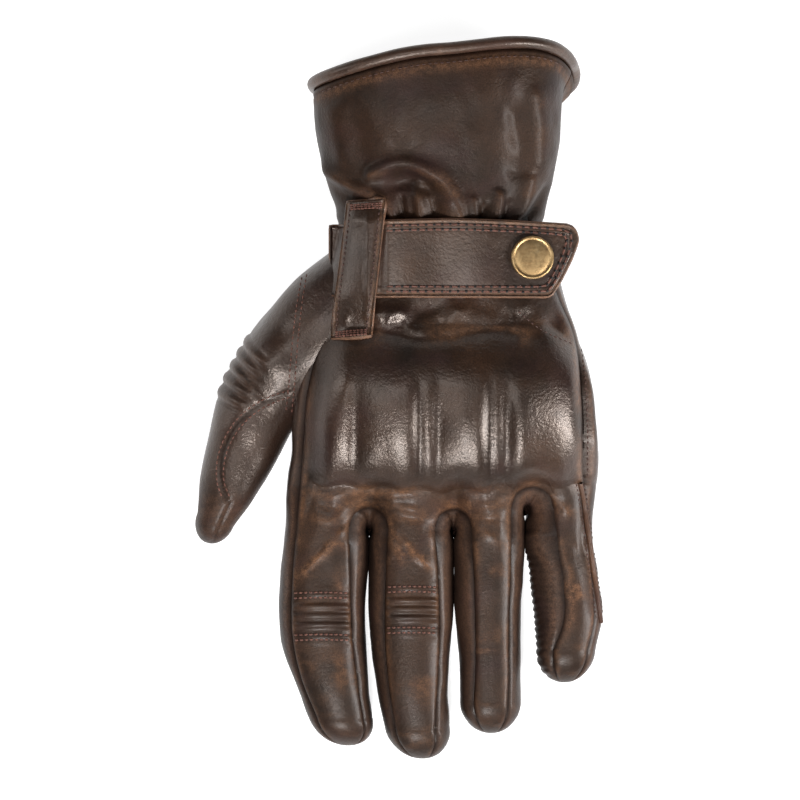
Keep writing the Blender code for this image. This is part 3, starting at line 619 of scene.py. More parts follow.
def brass():
    """Old brass with paler and darker patches."""
    n = Nodes("aged_brass")
    at = n.rest()
    patches = n.noise(at, 0.32, 6.0, 0.65)
    stops = [(0.3, (0.27, 0.165, 0.075)), (0.55, (0.43, 0.29, 0.14)), (0.75, (0.54, 0.40, 0.22))]
    n.link(n.ramp(patches, stops), n.shader.inputs["Base Color"])
    n.shader.inputs["Metallic"].default_value = 1.0
    n.link(n.ramp(n.noise(at, 0.9, 6.0, 0.7), [(0.3, (0.34,)), (0.7, (0.55,))]), n.shader.inputs["Roughness"])
    n.bump(n.noise(at, 1.6, 6.0, 0.7), 0.25, 0.0002)
    return n.material


def fabric():
    """Dark woven lining."""
    n = Nodes("lining_fabric")
    weave = n.add("ShaderNodeTexWave")
    weave.inputs["Scale"].default_value = 1.3
    n.link(n.rest(), weave.inputs["Vector"])
    stops = [(0.2, (0.010, 0.008, 0.008)), (0.8, (0.028, 0.022, 0.02))]
    n.link(n.ramp(weave.outputs["Fac"], stops), n.shader.inputs["Base Color"])
    n.shader.inputs["Roughness"].default_value = 0.92
    n.shader.inputs["Sheen Weight"].default_value = 0.3
    return n.material


HIDE = leather("hide")
CUFF_HIDE = leather("hide_cuff", mid=(0.030, 0.0142, 0.0080), rough=0.46, shine=0.16)
# a paler copy of the hide for the strap: its lighter colour is a painted highlight that stands in for the sheen
# across the strap
STRAP_HIDE_LIT = leather("hide_strap", (0.015, 0.0080, 0.0055), (0.058, 0.029, 0.017), WORN, 0.38, 0.85)
SIDE_HIDE = leather("hide_side", (0.010, 0.0062, 0.0050), (0.040, 0.0208, 0.0135), (0.13, 0.064, 0.036), 0.35)
EDGE_HIDE = leather("hide_edge", (0.036, 0.0165, 0.0095), (0.082, 0.038, 0.022), (0.20, 0.095, 0.052), 0.42)
ROLL_HIDE = leather("hide_roll", (0.016, 0.008, 0.005), (0.052, 0.026, 0.016), (0.13, 0.064, 0.038), 0.38)
THREAD = thread("thread", (0.070, 0.026, 0.017), (0.14, 0.052, 0.033))
DARK_THREAD = thread("thread_dark", (0.030, 0.012, 0.008), (0.06, 0.024, 0.016))
# painted shade: near-black thread pieces sunk into the stitch holes stand in for the shade inside them
HOLE_SHADE = thread("needle_hole_shade", (0.003, 0.002, 0.0015), (0.006, 0.004, 0.003))
BRASS = brass()
FABRIC = fabric()


def plain(name, colour, roughness, metallic=0.0):
    """A plain look with a faint grain, in the object's own space."""
    n = Nodes(name)
    grain = n.noise(n.add("ShaderNodeTexCoord").outputs["Object"], 900.0, 4.0)
    low, high = tuple(0.8 * c for c in colour), tuple(1.2 * c for c in colour)
    n.link(n.ramp(grain, [(0.3, low), (0.7, high)]), n.shader.inputs["Base Color"])
    n.shader.inputs["Roughness"].default_value = roughness
    n.shader.inputs["Metallic"].default_value = metallic
    return n.material


# ---------------------------------------------------------------- the hand's sheets

ROWS = np.arange(CUFF_S, CUT_S + 2.5, (CUT_S - CUFF_S) / 130)
# Mesh columns across each finger's back, across each gap and down each wall
STRIP_COLUMNS = {"index": 26, "middle": 22, "ring": 18, "little": 16}
GAP_COLUMNS = 16
WALL_COLUMNS = 18
WALL_HEIGHT = 22.0  # of a finger, from its back seam to its palm seam
CUT_ROW = int(np.argmin(np.abs(ROWS - CUT_S)))


def arch_row(name, side):
    """The row where the straight legs of the gap after a finger start."""
    following = NAMES[NAMES.index(name) + 1]
    top = ARCH_TOP[name] + (0 if side > 0 else PALM_ARCH_SHIFT)
    half = float((seam_x(following, top + 6, -1) - seam_x(name, top + 6, 1))[0]) / 2
    return int(np.argmin(np.abs(ROWS - (top + half)))), top


def sheet(side):
    """The back or the palm as a grid: columns follow the finger seams, and gaps end in round arches."""
    columns, kinds = [], []
    seam = seam_x if side > 0 else palm_seam
    for name in NAMES:
        left, right = seam(name, ROWS, -1), seam(name, ROWS, 1)
        for k in range(STRIP_COLUMNS[name] + 1):
            columns.append(left + (right - left) * k / STRIP_COLUMNS[name])
            kinds.append((name, k))
        if name != "little":
            following = NAMES[NAMES.index(name) + 1]
            far = seam(following, ROWS, -1)
            for k in range(1, GAP_COLUMNS):
                columns.append(right + (far - right) * k / GAP_COLUMNS)
                kinds.append((name + "_gap", k))
    x = np.array(columns).T
    s = np.repeat(ROWS[:, None], x.shape[1], axis=1)
    for j, (kind, k) in enumerate(kinds):
        if not kind.endswith("_gap"):
            continue
        base, top = arch_row(kind.removesuffix("_gap"), side)
        u = 2 * k / GAP_COLUMNS - 1
        rise = (ROWS[base] - top) * math.sqrt(1 - u * u)
        s[:, j] = ROWS - rise * ease(ROWS, ROWS[base] - 16, ROWS[base])
    return x, s, kinds


def palm_seam(name, s, side):
    """Palm seams run nearer the middle of the finger."""
    r = rows(FINGERS[name], s)
    body = rows(BODY, s)
    share = ease(s, 16, 44)
    own = r[:, 1] + side * 0.70 * r[:, 3]
    if (name, side) in (("index", -1), ("little", 1)):
        wide = body[:, 1] + side * 0.84 * body[:, 3]
        return wide * (1 - share) + own * share
    return own


def rim_points(kinds, side):
    """The open edge of each gap in a sheet, as index pairs round its arch, and the row its legs start at."""
    found = {}
    for name in NAMES[:-1]:
        base, _ = arch_row(name, side)
        gap = [j for j, (kind, _) in enumerate(kinds) if kind == name + "_gap"]
        left, right = gap[0] - 1, gap[-1] + 1
        path = [(i, left) for i in range(len(ROWS) - 1, base, -1)]
        path += [(base, j) for j in range(left, right + 1)]
        path += [(i, right) for i in range(base + 1, len(ROWS))]
        found[name] = (path, base)
    return found


def near_edges(x, s, curves):
    """Distance from each sheet point to the nearest of some curves."""
    at = np.stack([x.ravel(), s.ravel()], 1)
    best = np.full(len(at), 1e9)
    size = 4000  # points handled at a time
    for curve in curves:
        a, b = curve[:-1], curve[1:]
        ab = b - a
        length = np.maximum((ab**2).sum(1), 1e-12)
        for start in range(0, len(at), size):
            block = at[start : start + size]
            t = np.clip((((block[:, None] - a) * ab).sum(2)) / length, 0, 1)
            away = np.linalg.norm(block[:, None] - (a + ab * t[..., None]), axis=2).min(1)
            best[start : start + size] = np.minimum(best[start : start + size], away)
    return best.reshape(x.shape)


def in_gap(kinds, base_rows):
    """Whether a sheet face lies in an open gap."""
    owner = []
    for (a, _), (b, _) in zip(kinds[:-1], kinds[1:], strict=True):
        gap = a if a.endswith("_gap") else b
        owner.append(gap.removesuffix("_gap") if gap.endswith("_gap") else None)
    return lambda i, j: owner[j] is not None and i >= base_rows[owner[j]]


MEETING = {}  # the points where each part of a finger's tube meets the hand


def make_hand(skin):
    """The back and the palm of the hand, cut open between the fingers, and the walls that join them."""
    edges = {}
    for side in (1, -1):
        x, s, kinds = sheet(side)
        z = sheet_height(x, s, side)
        if side > 0:
            z = z + back_detail(x, s)
        rims = rim_points(kinds, side)
        curves = [np.array([(x[p], s[p]) for p in path]) for path, _ in rims.values()]
        outer = [np.stack([x[:, 0], s[:, 0]], 1), np.stack([x[:, -1], s[:, -1]], 1)]
        away = near_edges(x, s, curves)
        z = z - side * 1.4 * bell(away, 0, 3.6) * (1 - ease(s, 37, 50))
        border = np.minimum(away, near_edges(x, s, outer))
        # painted shade: the seams round the sheets and gaps sink and are painted dark
        groove_shade = seam_groove_shade(border)
        wear = 0.6 * bell(border, 1.6, 1.3) * ease(noise(flat(x, s), 9.0, 61), -0.5, 0.5)
        if side > 0:
            wear = np.maximum(wear, 0.6 * back_wear(x, s))
            groove_shade = np.maximum(groove_shade, flute_shade(x, s))
        points = np.stack([x, -s, z], 2)
        gap = in_gap(kinds, {name: base for name, (_, base) in rims.items()})
        sheet_name = "back" if side > 0 else "palm"

        def label(i, j, sheet_name=sheet_name):
            return sheet_name if i < CUT_ROW else "drop"

        skin.grid(points, label, groove_shade, wear, flip=side > 0, keep=lambda i, j, gap=gap: not gap(i, j))
        edges[side] = (points, rims)
        for name in NAMES:
            columns = [j for j, (kind, _) in enumerate(kinds) if kind == name]
            row = points[CUT_ROW, columns]
            MEETING[(name, sheet_name)] = row if side > 0 else row[::-1]
    make_crotches(skin, edges)
    make_sides(skin, edges)


def flute_shade(x, s):
    """Painted shade in the flutes of the knuckle guard: how much darker the hide is painted there, and how much
    it sinks.
    """
    lines = 0.30 * bell(x, 6.7, 1.3) + 0.30 * bell(x, 30.9, 1.3) + 0.22 * bell(x, 36.8, 1.6)
    lines = lines + 0.18 * bell(x, -15.6, 1.8) + 0.22 * bell(x, 12.9, 1.6)
    return lines * ease(s, -14, 8) * (1 - ease(s, 24, 30))


def back_wear(x, s):
    """Where the hide of the back is rubbed lighter: the creases under the guard and round the gaps."""
    lumps = noise(flat(x, s) * [0.8, 1.5, 1], 9.0, 21)
    ridged = 1 - np.abs(noise(flat(x, s) * [0.6, 1.4, 1], 10.0, 33))
    under = bell(s, 35, 6) * (0.15 + 0.95 * ease(lumps, -0.1, 0.6)) * ease(ridged, 0.5, 0.95)
    crease = 0.8 * bell(s, -23, 4) * ease(ridged, 0.55, 1.0)
    return np.clip(0.7 * under + crease + 0.6 * crease_lift(x, s)[1], 0, 1)


def straight_wall(upper, lower, v):
    """Straight lines from each point of the upper edge to its partner on the lower edge."""
    return upper[:, None] * (1 - v[None, :, None]) + lower[:, None] * v[None, :, None]


def make_crotches(skin, edges):
    """The strips that line the gaps between the fingers, from the back's edge down to the palm's."""
    v = np.linspace(0, 1, WALL_COLUMNS + 1)
    top_points, top_rims = edges[1]
    low_points, low_rims = edges[-1]
    limit = len(ROWS) - 1 - CUT_ROW
    for name in NAMES[:-1]:
        following = NAMES[NAMES.index(name) + 1]
        top, base = top_rims[name]
        low, low_base = low_rims[name]
        legs = len(ROWS) - 1 - base
        upper = np.array([top_points[p] for p in top])
        lower = resample(np.array([low_points[p] for p in low]), len(ROWS) - 1 - low_base, legs)
        n = len(upper)
        strip = straight_wall(upper, lower, v)
        bulge = np.zeros(strip.shape)
        for k in range(n):
            if k <= legs or k >= n - 1 - legs:
                finger, direction = (name, 1) if k <= legs else (following, -1)
                i = len(ROWS) - 1 - k if k <= legs else base + k - (n - 1 - legs)
                bulge[k] = tube_offset(finger, -strip[k, :, 1], strip[k, 0], strip[k, -1], direction, v)
        first, last = strip[legs] + bulge[legs], strip[n - 1 - legs] + bulge[n - 1 - legs]
        arch = n - 1 - 2 * legs
        middle = (strip[legs] + strip[n - 1 - legs]) / 2
        half = np.maximum((strip[n - 1 - legs, :, 0] - strip[legs, :, 0]) / 2, 0.5)
        web = 1 - np.abs(2 * v - 1) ** 3.2
        for step in range(1, arch):
            k = legs + step
            inner = np.maximum((last[:, 0] - first[:, 0]) / 2, -0.3)
            shift = (last[:, 0] + first[:, 0]) / 2 - middle[:, 0]
            strip[k, :, 0] = middle[:, 0] + shift + (strip[k, :, 0] - middle[:, 0]) * inner / half
            rise = strip[k, :, 1] - middle[:, 1]
            strip[k, :, 1] = middle[:, 1] + rise * (1 - web * (1 - np.clip(inner / half, 0, 1) ** 0.8))
            strip[k, :, 2] += 0.22 * math.sin(step * 2.1) * np.sin(math.pi * np.clip(v * 3, 0, 1))
        strip = strip + bulge
        MEETING[(name, "far_wall")] = strip[limit]
        MEETING[(following, "near_wall")] = strip[n - 1 - limit][::-1]
        # painted shade: the seams along the wall's edges sink and are painted dark
        groove_shade = np.repeat(seam_groove_shade(np.minimum(v, 1 - v) * WALL_HEIGHT)[None], n, axis=0)
        wear = np.repeat((0.55 * bell(v * WALL_HEIGHT, 2.6, 1.8))[None], n, axis=0)
        k = np.arange(n)
        in_arch = ease(k, legs - 4, legs + 2) * ease(-k, -(n - 1 - legs + 4), -(n - 1 - legs - 2))
        # painted shade: the middle of each gap's arch is painted dark and sunk
        deep_arch_shade = 0.95 * ease(v, 0.2, 0.36) * ease(-v, -0.8, -0.6)  # the shade inside the arch
        groove_shade = np.maximum(groove_shade, in_arch[:, None] * deep_arch_shade[None])

        def label(i, j, name=name, n=n):
            return "fourchette_" + name if limit <= i < n - 1 - limit else "drop"

        skin.grid(strip, label, groove_shade, wear)


def resample(curve, legs, wanted_legs):
    """A U-shaped curve with its legs resampled to another number of points; the arch keeps its own."""
    n = len(curve)
    arch = curve[legs : n - legs]

    def leg(points):
        at = np.linspace(0, 1, len(points))
        want = np.linspace(0, 1, wanted_legs + 1)
        return np.stack([np.interp(want, at, points[:, k]) for k in range(3)], 1)

    left = leg(curve[: legs + 1])[:-1]
    right = leg(curve[n - 1 - legs :])[1:]
    return np.concatenate([left, arch, right])


def tube_offset(finger, s, top, low, direction, v):
    """How far the finger's wall stands out from the straight line between its two seams."""
    r = rows(FINGERS[finger], s)
    line_x = top[0] * (1 - v) + low[0] * v
    z = top[2] * (1 - v) + low[2] * v
    u = np.clip(np.abs((z - r[:, 2]) / r[:, 4]), 0, 0.999)
    edge = r[:, 1] + direction * r[:, 3] * (1 - u**FINGER_POWER) ** (1 / FINGER_POWER)
    out = np.zeros((len(v), 3))
    raw = edge - line_x
    out[:, 0] = raw - (raw[0] * (1 - v) + raw[-1] * v)
    short = direction * (r[:, 1] + direction * r[:, 3]) - np.max(direction * (line_x + out[:, 0])) + 0.15
    out[:, 0] += direction * short * np.sin(math.pi * v) ** 0.6
    return out


SOFT_LIMIT = 0.8  # how gently the side walls stay inside the sections' full width


def make_sides(skin, edges):
    """The walls at the thumb's side and at the little finger's side, from wrist to finger."""
    v = np.linspace(0, 1, WALL_COLUMNS + 1)
    top, low = edges[1][0], edges[-1][0]
    for label, column, finger, direction in (("index_side", 0, "index", -1), ("little_side", -1, "little", 1)):
        upper, lower = top[:, column], low[:, column]
        wall = straight_wall(upper, lower, v)
        for i, s in enumerate(ROWS):
            own = tube_offset(finger, np.full(len(v), s), upper[i], lower[i], direction, v)
            r = rows(BODY, np.full(len(v), s))
            u = np.clip(np.abs((wall[i, :, 2] - r[:, 2]) / r[:, 4]), 0, 0.999)
            edge = r[:, 1] + direction * r[:, 3] * (1 - u**BODY_POWER) ** (1 / BODY_POWER)
            raw = edge - wall[i, :, 0]
            whole = raw - (raw[0] * (1 - v) + raw[-1] * v)
            share = ease(s, 20, 44)
            wall[i, :, 0] += whole * (1 - share) + own[:, 0] * share
            finger_row = rows(FINGERS[finger], s)[0]
            share = ease(s, 36, 50)
            finger_edge = finger_row[1] + direction * finger_row[3]
            limit = (r[:, 1] + direction * r[:, 3]) * (1 - share) + share * finger_edge
            beyond = direction * (wall[i, :, 0] - limit)
            wall[i, :, 0] = limit - direction * SOFT_LIMIT * np.log1p(np.exp(-beyond / SOFT_LIMIT))
        lumps = noise(wall, 9.0, 13)
        wall[:, :, 0] += direction * 0.5 * lumps * np.sin(math.pi * v)[None] * ease(-ROWS, -46, -40)[:, None]
        MEETING[(finger, "near_wall" if direction < 0 else "far_wall")] = wall[CUT_ROW][::direction]
        distance = np.minimum(v, 1 - v)[None] * np.linalg.norm(upper - lower, axis=1)[:, None] * 1.3
        skin.grid(
            wall,
            lambda i, j, label=label: label if i < CUT_ROW else "drop",
            # the seam lines along the wall's edges sink and are painted dark as shade
            seam_groove_shade(distance),
            0.6 * bell(distance, 1.8, 1.4),
            flip=direction > 0,
        )


# ---------------------------------------------------------------- finger tubes


def finger_angles(name, s):
    """Section angles at lengths s of the far back seam, far palm seam, near palm seam and near back seam."""
    r = rows(FINGERS[name], s)
    found = []
    for x, palm, side in (
        (seam_x(name, s, 1), False, 1),
        (palm_seam(name, s, 1), True, 1),
        (palm_seam(name, s, -1), True, -1),
        (seam_x(name, s, -1), False, -1),
    ):
        u = np.clip(np.abs(x - r[:, 1]) / r[:, 3], 0.05, 0.97)
        angle = np.degrees(np.arccos(u ** (FINGER_POWER / 2)))
        if side < 0:
            angle = 180 - angle
        found.append(-angle if palm else angle)
    return found


def finger_point(name, s_rows, angles):
    """Points of a finger tube. Rows past the last section close into the tip."""
    last = FINGERS[name][-1, 0]
    reach = TIP[name] - last
    shrink, ahead = tip_closing(s_rows, last, TIP[name])
    r = rows(FINGERS[name], s_rows)
    _, slope, fall, *_ = (FINGERS[name][-1] - rows(FINGERS[name], [last - 4.0])[0]) / 4.0
    along = np.where(s_rows > last, last + reach * ahead, s_rows)
    across, up = round_section(angles, FINGER_POWER)
    x = (r[:, 1] + slope * reach * ahead)[:, None] + (r[:, 3] * shrink)[:, None] * across
    z = (r[:, 2] + 0.6 * fall * reach * ahead)[:, None] + (r[:, 4] * shrink)[:, None] * up
    return np.stack([x, np.repeat(-along[:, None], angles.shape[1], 1), z], 2)


RIBS = {"index": (75.5, 4.9), "middle": (73.2, 4.7)}  # middle and half length of each ribbed panel
RIB_BOW = 0.004


def rib_lift(name, s, x):
    """The ribs of the stretch panel across a finger's back, and the hollow line at each edge, which is sunk and
    painted with shade.
    """
    if name not in RIBS:
        return np.zeros_like(s), np.zeros_like(s)
    centre, half = RIBS[name]
    q = s - centre - RIB_BOW * (x - rows(FINGERS[name], s)[..., 1]) ** 2
    inside = ease(q, -half, -half + 1.2) * ease(-q, -half, -half + 1.2)
    ribs = inside * 1.15 * np.abs(np.sin((q + half) / (2 * half) * math.pi * 3)) ** 0.42
    stitch_row_shade = bell(np.abs(q), half + 1.6, 0.7) + bell(np.abs(q), half + 3.4, 0.7)
    return ribs - 0.35 * inside + 0.5 * bell(np.abs(q), half + 2.5, 2.0), 0.28 * stitch_row_shade


def make_finger(skin, name):
    """One finger's tube, as its back, its palm and its two walls."""
    last, tip = FINGERS[name][-1, 0], TIP[name]
    step = ROWS[1] - ROWS[0]
    straight = np.arange(CUT_S - 2 * step, last, 0.62 if name in RIBS else step)
    if name in RIBS:
        straight = straight + (CUT_S - straight[2])  # one row lies on the cut
    straight = straight[straight >= CUT_S - 3]
    s_rows = np.concatenate([straight, np.linspace(last, tip, 22)])
    cut = int(np.argmin(np.abs(s_rows - CUT_S)))
    far_back, far_palm, near_palm, near_back = finger_angles(name, s_rows)
    near_palm = np.where(near_palm > 0, near_palm - 360, near_palm)
    spans = [
        ("back", near_back, far_back, STRIP_COLUMNS[name]),
        ("far_wall", far_back, far_palm, WALL_COLUMNS),
        ("palm", far_palm, near_palm, STRIP_COLUMNS[name]),
        ("near_wall", near_palm, near_back - 360, WALL_COLUMNS),
    ]
    middle_x = rows(FINGERS[name], s_rows)[:, 1][:, None]
    half_width = rows(FINGERS[name], s_rows)[:, 3][:, None]
    for sector, start, end, columns in spans:
        t = np.linspace(0, 1, columns + 1)
        angles = start[:, None] * (1 - t) + end[:, None] * t
        points = finger_point(name, s_rows, angles)
        width = np.abs(end - start)[:, None] / PER_RADIAN * half_width * 1.1
        distance = np.minimum(t, 1 - t)[None] * width
        fade = (1 - ease(s_rows, last + 0.45 * (tip - last), tip - 1))[:, None]
        # painted shade: the finger's seams sink and are painted dark
        groove_shade = seam_groove_shade(distance) * fade
        wear = 0.55 * bell(distance, 1.7, 1.4) * fade * ease(noise(points * [1, 1, 0.2], 9.0, 61), -0.5, 0.5)
        if "wall" in sector:
            wear = 0.55 * bell(np.minimum(t, 1 - t)[None] * WALL_HEIGHT, 2.6, 1.8) * fade
        s_grid = np.repeat(s_rows[:, None], columns + 1, 1)
        if sector == "back":
            # the second value is painted shade along the rows of stitches
            lift, edge = rib_lift(name, s_grid, points[:, :, 0])
            points[:, :, 2] += lift * ease(distance, 0.2, 1.8)
            points[:, :, 2] += back_detail(points[:, :, 0], s_grid) * (1 - ease(s_grid, 60, 90) * 0.4) * fade
            groove_shade = np.maximum(groove_shade, edge)
            wear = np.maximum(wear, finger_wear(name, points, s_grid))
        else:
            lumps = noise(points, 6.5, 17)
            if name == "little" and sector == "near_wall":
                wave = 0.30 * np.sin(2.5 * s_grid + 1.6 * noise(points, 4.0, 19))
                wave = wave * np.clip(distance / 3 - 0.3, 0, 1) * fade
                points[:, :, 0] -= wave * ease(s_grid, CUT_S - 1, CUT_S + 5)
            outwards = np.sign(points[:, :, 0] - middle_x) * 0.3 * lumps
            points[:, :, 0] += outwards * np.clip(distance / 3, 0, 1) * fade * ease(s_grid, CUT_S, CUT_S + 8)
        gap = MEETING[(name, sector)] - points[cut]
        points = points + gap[None] * (1 - ease(s_rows, CUT_S, CUT_S + 11))[:, None, None]
        skin.grid(
            points,
            lambda i, j, sector=sector, cut=cut: f"{name}_{sector}" if i >= cut else "drop",
            groove_shade,
            wear,
            flip=True,
        )


def finger_wear(name, points, s):
    """Rubbed places on a finger's back: by the knuckle and by the ribs."""
    lumps = noise(points * [0.9, 1.2, 1], 8.0, 41)
    ridged = 1 - np.abs(noise(points * [0.7, 1.6, 1], 6.0, 47))
    last = FINGERS[name][-1, 0]
    spots = bell(s, 60, 10) * 0.5 + bell(s, last - 16, 8) * 0.7 + bell(s, last + 2, 6) * 0.35
    lines = crease_lift(points[..., 0], s)[1]
    return np.clip(spots * ease(lumps, -0.3, 0.6) * ease(ridged, 0.4, 0.95) + 0.75 * lines, 0, 1)


# ---------------------------------------------------------------- cuff

CUFF_COLUMNS = 260

# Where the cuff ends, round its section from the little finger's side
RIM_ANGLE = np.arange(-180, 181, 30)
RIM_S = np.array([-108.0, -106, -104, -103, -103, -107.5, -115.5, -120.2, -121.8, -119, -113.6, -109.6, -108])


def half_turn(angle):
    """The same angles between -180 and 180."""
    return (np.asarray(angle, float) + 180) % 360 - 180


def cuff_rim(angle):
    """Where the cuff ends at some angles of its section."""
    total = 0
    for offset in (-12, -6, 0, 6, 12):
        total = total + np.interp(half_turn(half_turn(angle) + offset), RIM_ANGLE, RIM_S)
    return total / 5


def rim_flare(s, angle):
    """How far the cuff's end stands out at the little finger's side."""
    return 7.0 * bell(half_turn(angle), -32, 34) * ease(-(s - cuff_rim(angle)), -9.0, 0.0)


def body_point(s, angle, inset=0.0):
    """Points of the cuff's section, inset from its outside."""
    r = rows(BODY, s)
    across, up = round_section(angle, BODY_POWER)
    x = r[:, 1] + (r[:, 3] - inset) * across + rim_flare(s, angle)
    return np.stack([x, -s, r[:, 2] + (r[:, 4] - inset) * up], 1)


# Folds of the cuff's back: height, half width, then points in (x, s)
FOLDS = [
    (2.3, 2.7, ((-9.7, -78), (-2.9, -81.4), (3.9, -81.8), (13.5, -77), (19.3, -69.5), (21.3, -61))),
    (-2.0, 2.8, ((-1.9, -74.6), (3.2, -76), (9.4, -73.2))),
    (2.1, 2.3, ((-28.2, -82.1), (-19, -74.6), (-9.7, -71.9), (-3.6, -67.4), (-1.9, -61))),
    (-1.4, 2.0, ((-24, -74.6), (-16.6, -69.8), (-11.8, -66.8))),
    (1.9, 1.6, ((6, -74.5), (7, -67.4), (7, -61))),
    (-1.6, 1.2, ((0.2, -69.8), (0.8, -61))),
    (-1.4, 1.1, ((10.8, -68.5), (12.8, -61))),
    (1.3, 1.5, ((16.5, -68), (17.2, -61))),
    (1.2, 1.6, ((25.4, -69), (26.5, -61))),
    (-1.4, 1.2, ((29.6, -67), (29.2, -61))),
    (1.5, 1.8, ((34, -71), (33.3, -61))),
    (-1.0, 1.3, ((37.6, -68), (37.0, -61))),
    (1.3, 2.4, ((45.0, -76), (44.2, -70), (41.0, -61))),
    (-2.0, 1.7, ((51.7, -73.6), (47.6, -66.8), (44.6, -61))),
    (1.0, 4.0, ((-22.5, -100), (-20.5, -89), (-20.0, -80))),
    (-0.6, 3.6, ((-15.6, -98), (-13.6, -87), (-12, -80))),
    (0.7, 4.0, ((-15.5, -105), (-9.0, -95), (-2.0, -86))),
    (1.4, 4.0, ((47.0, -104), (49.0, -92), (48.0, -82))),
    (-1.0, 3.5, ((40.5, -98), (41.5, -88), (40.5, -80))),
]


def cuff_lift(x, s, angle):
    """Folds of the cuff: gathers that start at the strap and long soft folds across the back."""
    top = ease(np.sin(np.radians(angle)), 0.02, 0.4)
    lift = -0.9 * ease(s, -70, -62) * top
    for height, width, curve in FOLDS:
        lift += height * bell(near_edges(x, s, [smooth_line(curve, 24)]), 0, width) * top
    at = np.stack([x, s, np.sin(np.radians(angle)) * 20], 1)
    return lift + 0.55 * noise(at, 14.0, 51) + 0.25 * noise(at * [1.4, 0.9, 1], 5.5, 53)


def make_cuff(skin):
    """The cuff's back and underside, from under the hand's edge to the rim."""
    angle = np.linspace(0, 360, CUFF_COLUMNS + 1)[:-1]
    steps = np.linspace(0, 1, 76)
    grid = np.zeros((len(steps), len(angle), 3))
    lifts = np.zeros(grid.shape[:2])
    start = CUFF_S + 2.2
    s_all = np.zeros(grid.shape[:2])
    for j, a in enumerate(angle):
        s = start + (cuff_rim(a) - start) * steps
        base = body_point(s, np.full(len(s), a))
        normal = base - body_point(s, np.full(len(s), a), 1.0)
        normal /= np.linalg.norm(normal, axis=1)[:, None]
        fade = ease(-s, -CUFF_S, -CUFF_S + 8) * ease(s - cuff_rim(a), 0, 12)
        lift = cuff_lift(base[:, 0], s, np.full(len(s), a)) * np.where(s > -70, 1, fade)
        lifts[:, j] = lift
        tuck = 0.9 * (1 - ease(-s, -CUFF_S + 0.3, -CUFF_S + 3.5))
        grid[:, j] = base + normal * (lift - tuck)[:, None]
        s_all[:, j] = s
    from_rim = s_all - cuff_rim(angle)[None]
    # painted shade: sunk lines painted dark under the piping's edge, along the row of stitches near the rim and
    # at the side seams
    groove_shade = 0.7 * bell(from_rim, 0.2, 0.8) + 0.25 * bell(from_rim, 2.6, 0.5)
    ridged = 1 - np.abs(noise(grid * [0.7, 1.2, 1], 9.0, 61))
    wear = 0.5 * bell(from_rim, 4.0, 2.0) + 0.22 * np.clip(lifts - 0.6, 0, 1.4) * ease(ridged, 0.4, 0.95)
    seam_away = np.minimum(np.abs(half_turn(angle)), np.abs(angle - 180))[None] / PER_RADIAN * 40
    groove_shade = np.maximum(groove_shade, 0.6 * bell(seam_away, 0, 0.8))

    def label(i, j):
        return "cuff_back" if j < CUFF_COLUMNS // 2 else "cuff_palm"

    skin.grid(grid, label, groove_shade, np.clip(wear, 0, 1), ring=True, flip=True)


def tube_mesh(name, centres, radius, look, wear, sides=12, closed=True, upright=(0, 1, 0)):
    """A roll of hide along some points, with a radius for each."""
    n = len(centres)
    points, faces = [], []
    for i in range(n):
        ahead = centres[(i + 1) % n] - centres[i - 1]
        if not closed:
            ahead = centres[min(i + 1, n - 1)] - centres[max(i - 1, 0)]
        ahead = ahead / np.linalg.norm(ahead)
        across = np.cross(ahead, upright)
        across /= np.linalg.norm(across)
        up = np.cross(across, ahead)
        for t in np.linspace(0, math.tau, sides, endpoint=False):
            points.append(centres[i] + (across * math.cos(t) + up * math.sin(t)) * radius[i])
    for i in range(n if closed else n - 1):
        for j in range(sides):
            a, b = i * sides + j, i * sides + (j + 1) % sides
            faces.append((a, b, (i + 1) % n * sides + (j + 1) % sides, (i + 1) % n * sides + j))
    points = np.array(points)
    normals = vertex_normals(points, np.array(faces))
    if np.mean(np.sum(normals * (points - np.repeat(centres, sides, axis=0)), axis=1)) < 0:
        faces = [face[::-1] for face in faces]
    wear = wear * ease(noise(points, 7.0, 71), -0.3, 0.7)
    return new_mesh(name, points, faces, look, None, {"wear": wear, "groove_shade": np.zeros(len(points))})


def ring_faces(n, m):
    """The faces of n closed rings of m points each."""
    rings = []
    for i in range(n - 1):
        for j in range(m):
            a, b = i * m + j, i * m + (j + 1) % m
            rings.append((a, b, b + m, a + m))
    return rings


def make_piping():
    """The roll of hide round the cuff's end."""
    angle = np.linspace(0, 360, 200, endpoint=False)
    centres = body_point(cuff_rim(angle) - 1.9, angle, 0.4)
    radius = 2.15 + 0.12 * noise(centres, 9.0, 73)
    piping = tube_mesh("cuff_piping_roll", centres, radius, ROLL_HIDE, 0.35, sides=16)
    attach(piping, "cuff")
    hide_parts("cuff_piping")


def make_lining():
    """The lining that shows inside the mouth of the cuff, run on into the hand."""
    angle = np.linspace(0, 360, 121)[:-1]
    steps = np.linspace(0, 1, 30)
    grid = np.zeros((len(steps), len(angle), 3))
    for j, a in enumerate(angle):
        s = cuff_rim(a) - 1.2 - cuff_rim(a) * steps
        grid[:, j] = body_point(s, np.full(len(s), a), 2.0 + 1.2 * steps)
    faces = ring_faces(*grid.shape[:2])
    lining = new_mesh("lining_sock", grid.reshape(-1, 3), faces, FABRIC)
    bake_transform(lining)
    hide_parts("cuff_lining", "hand_lining")


# ---------------------------------------------------------------- thumb

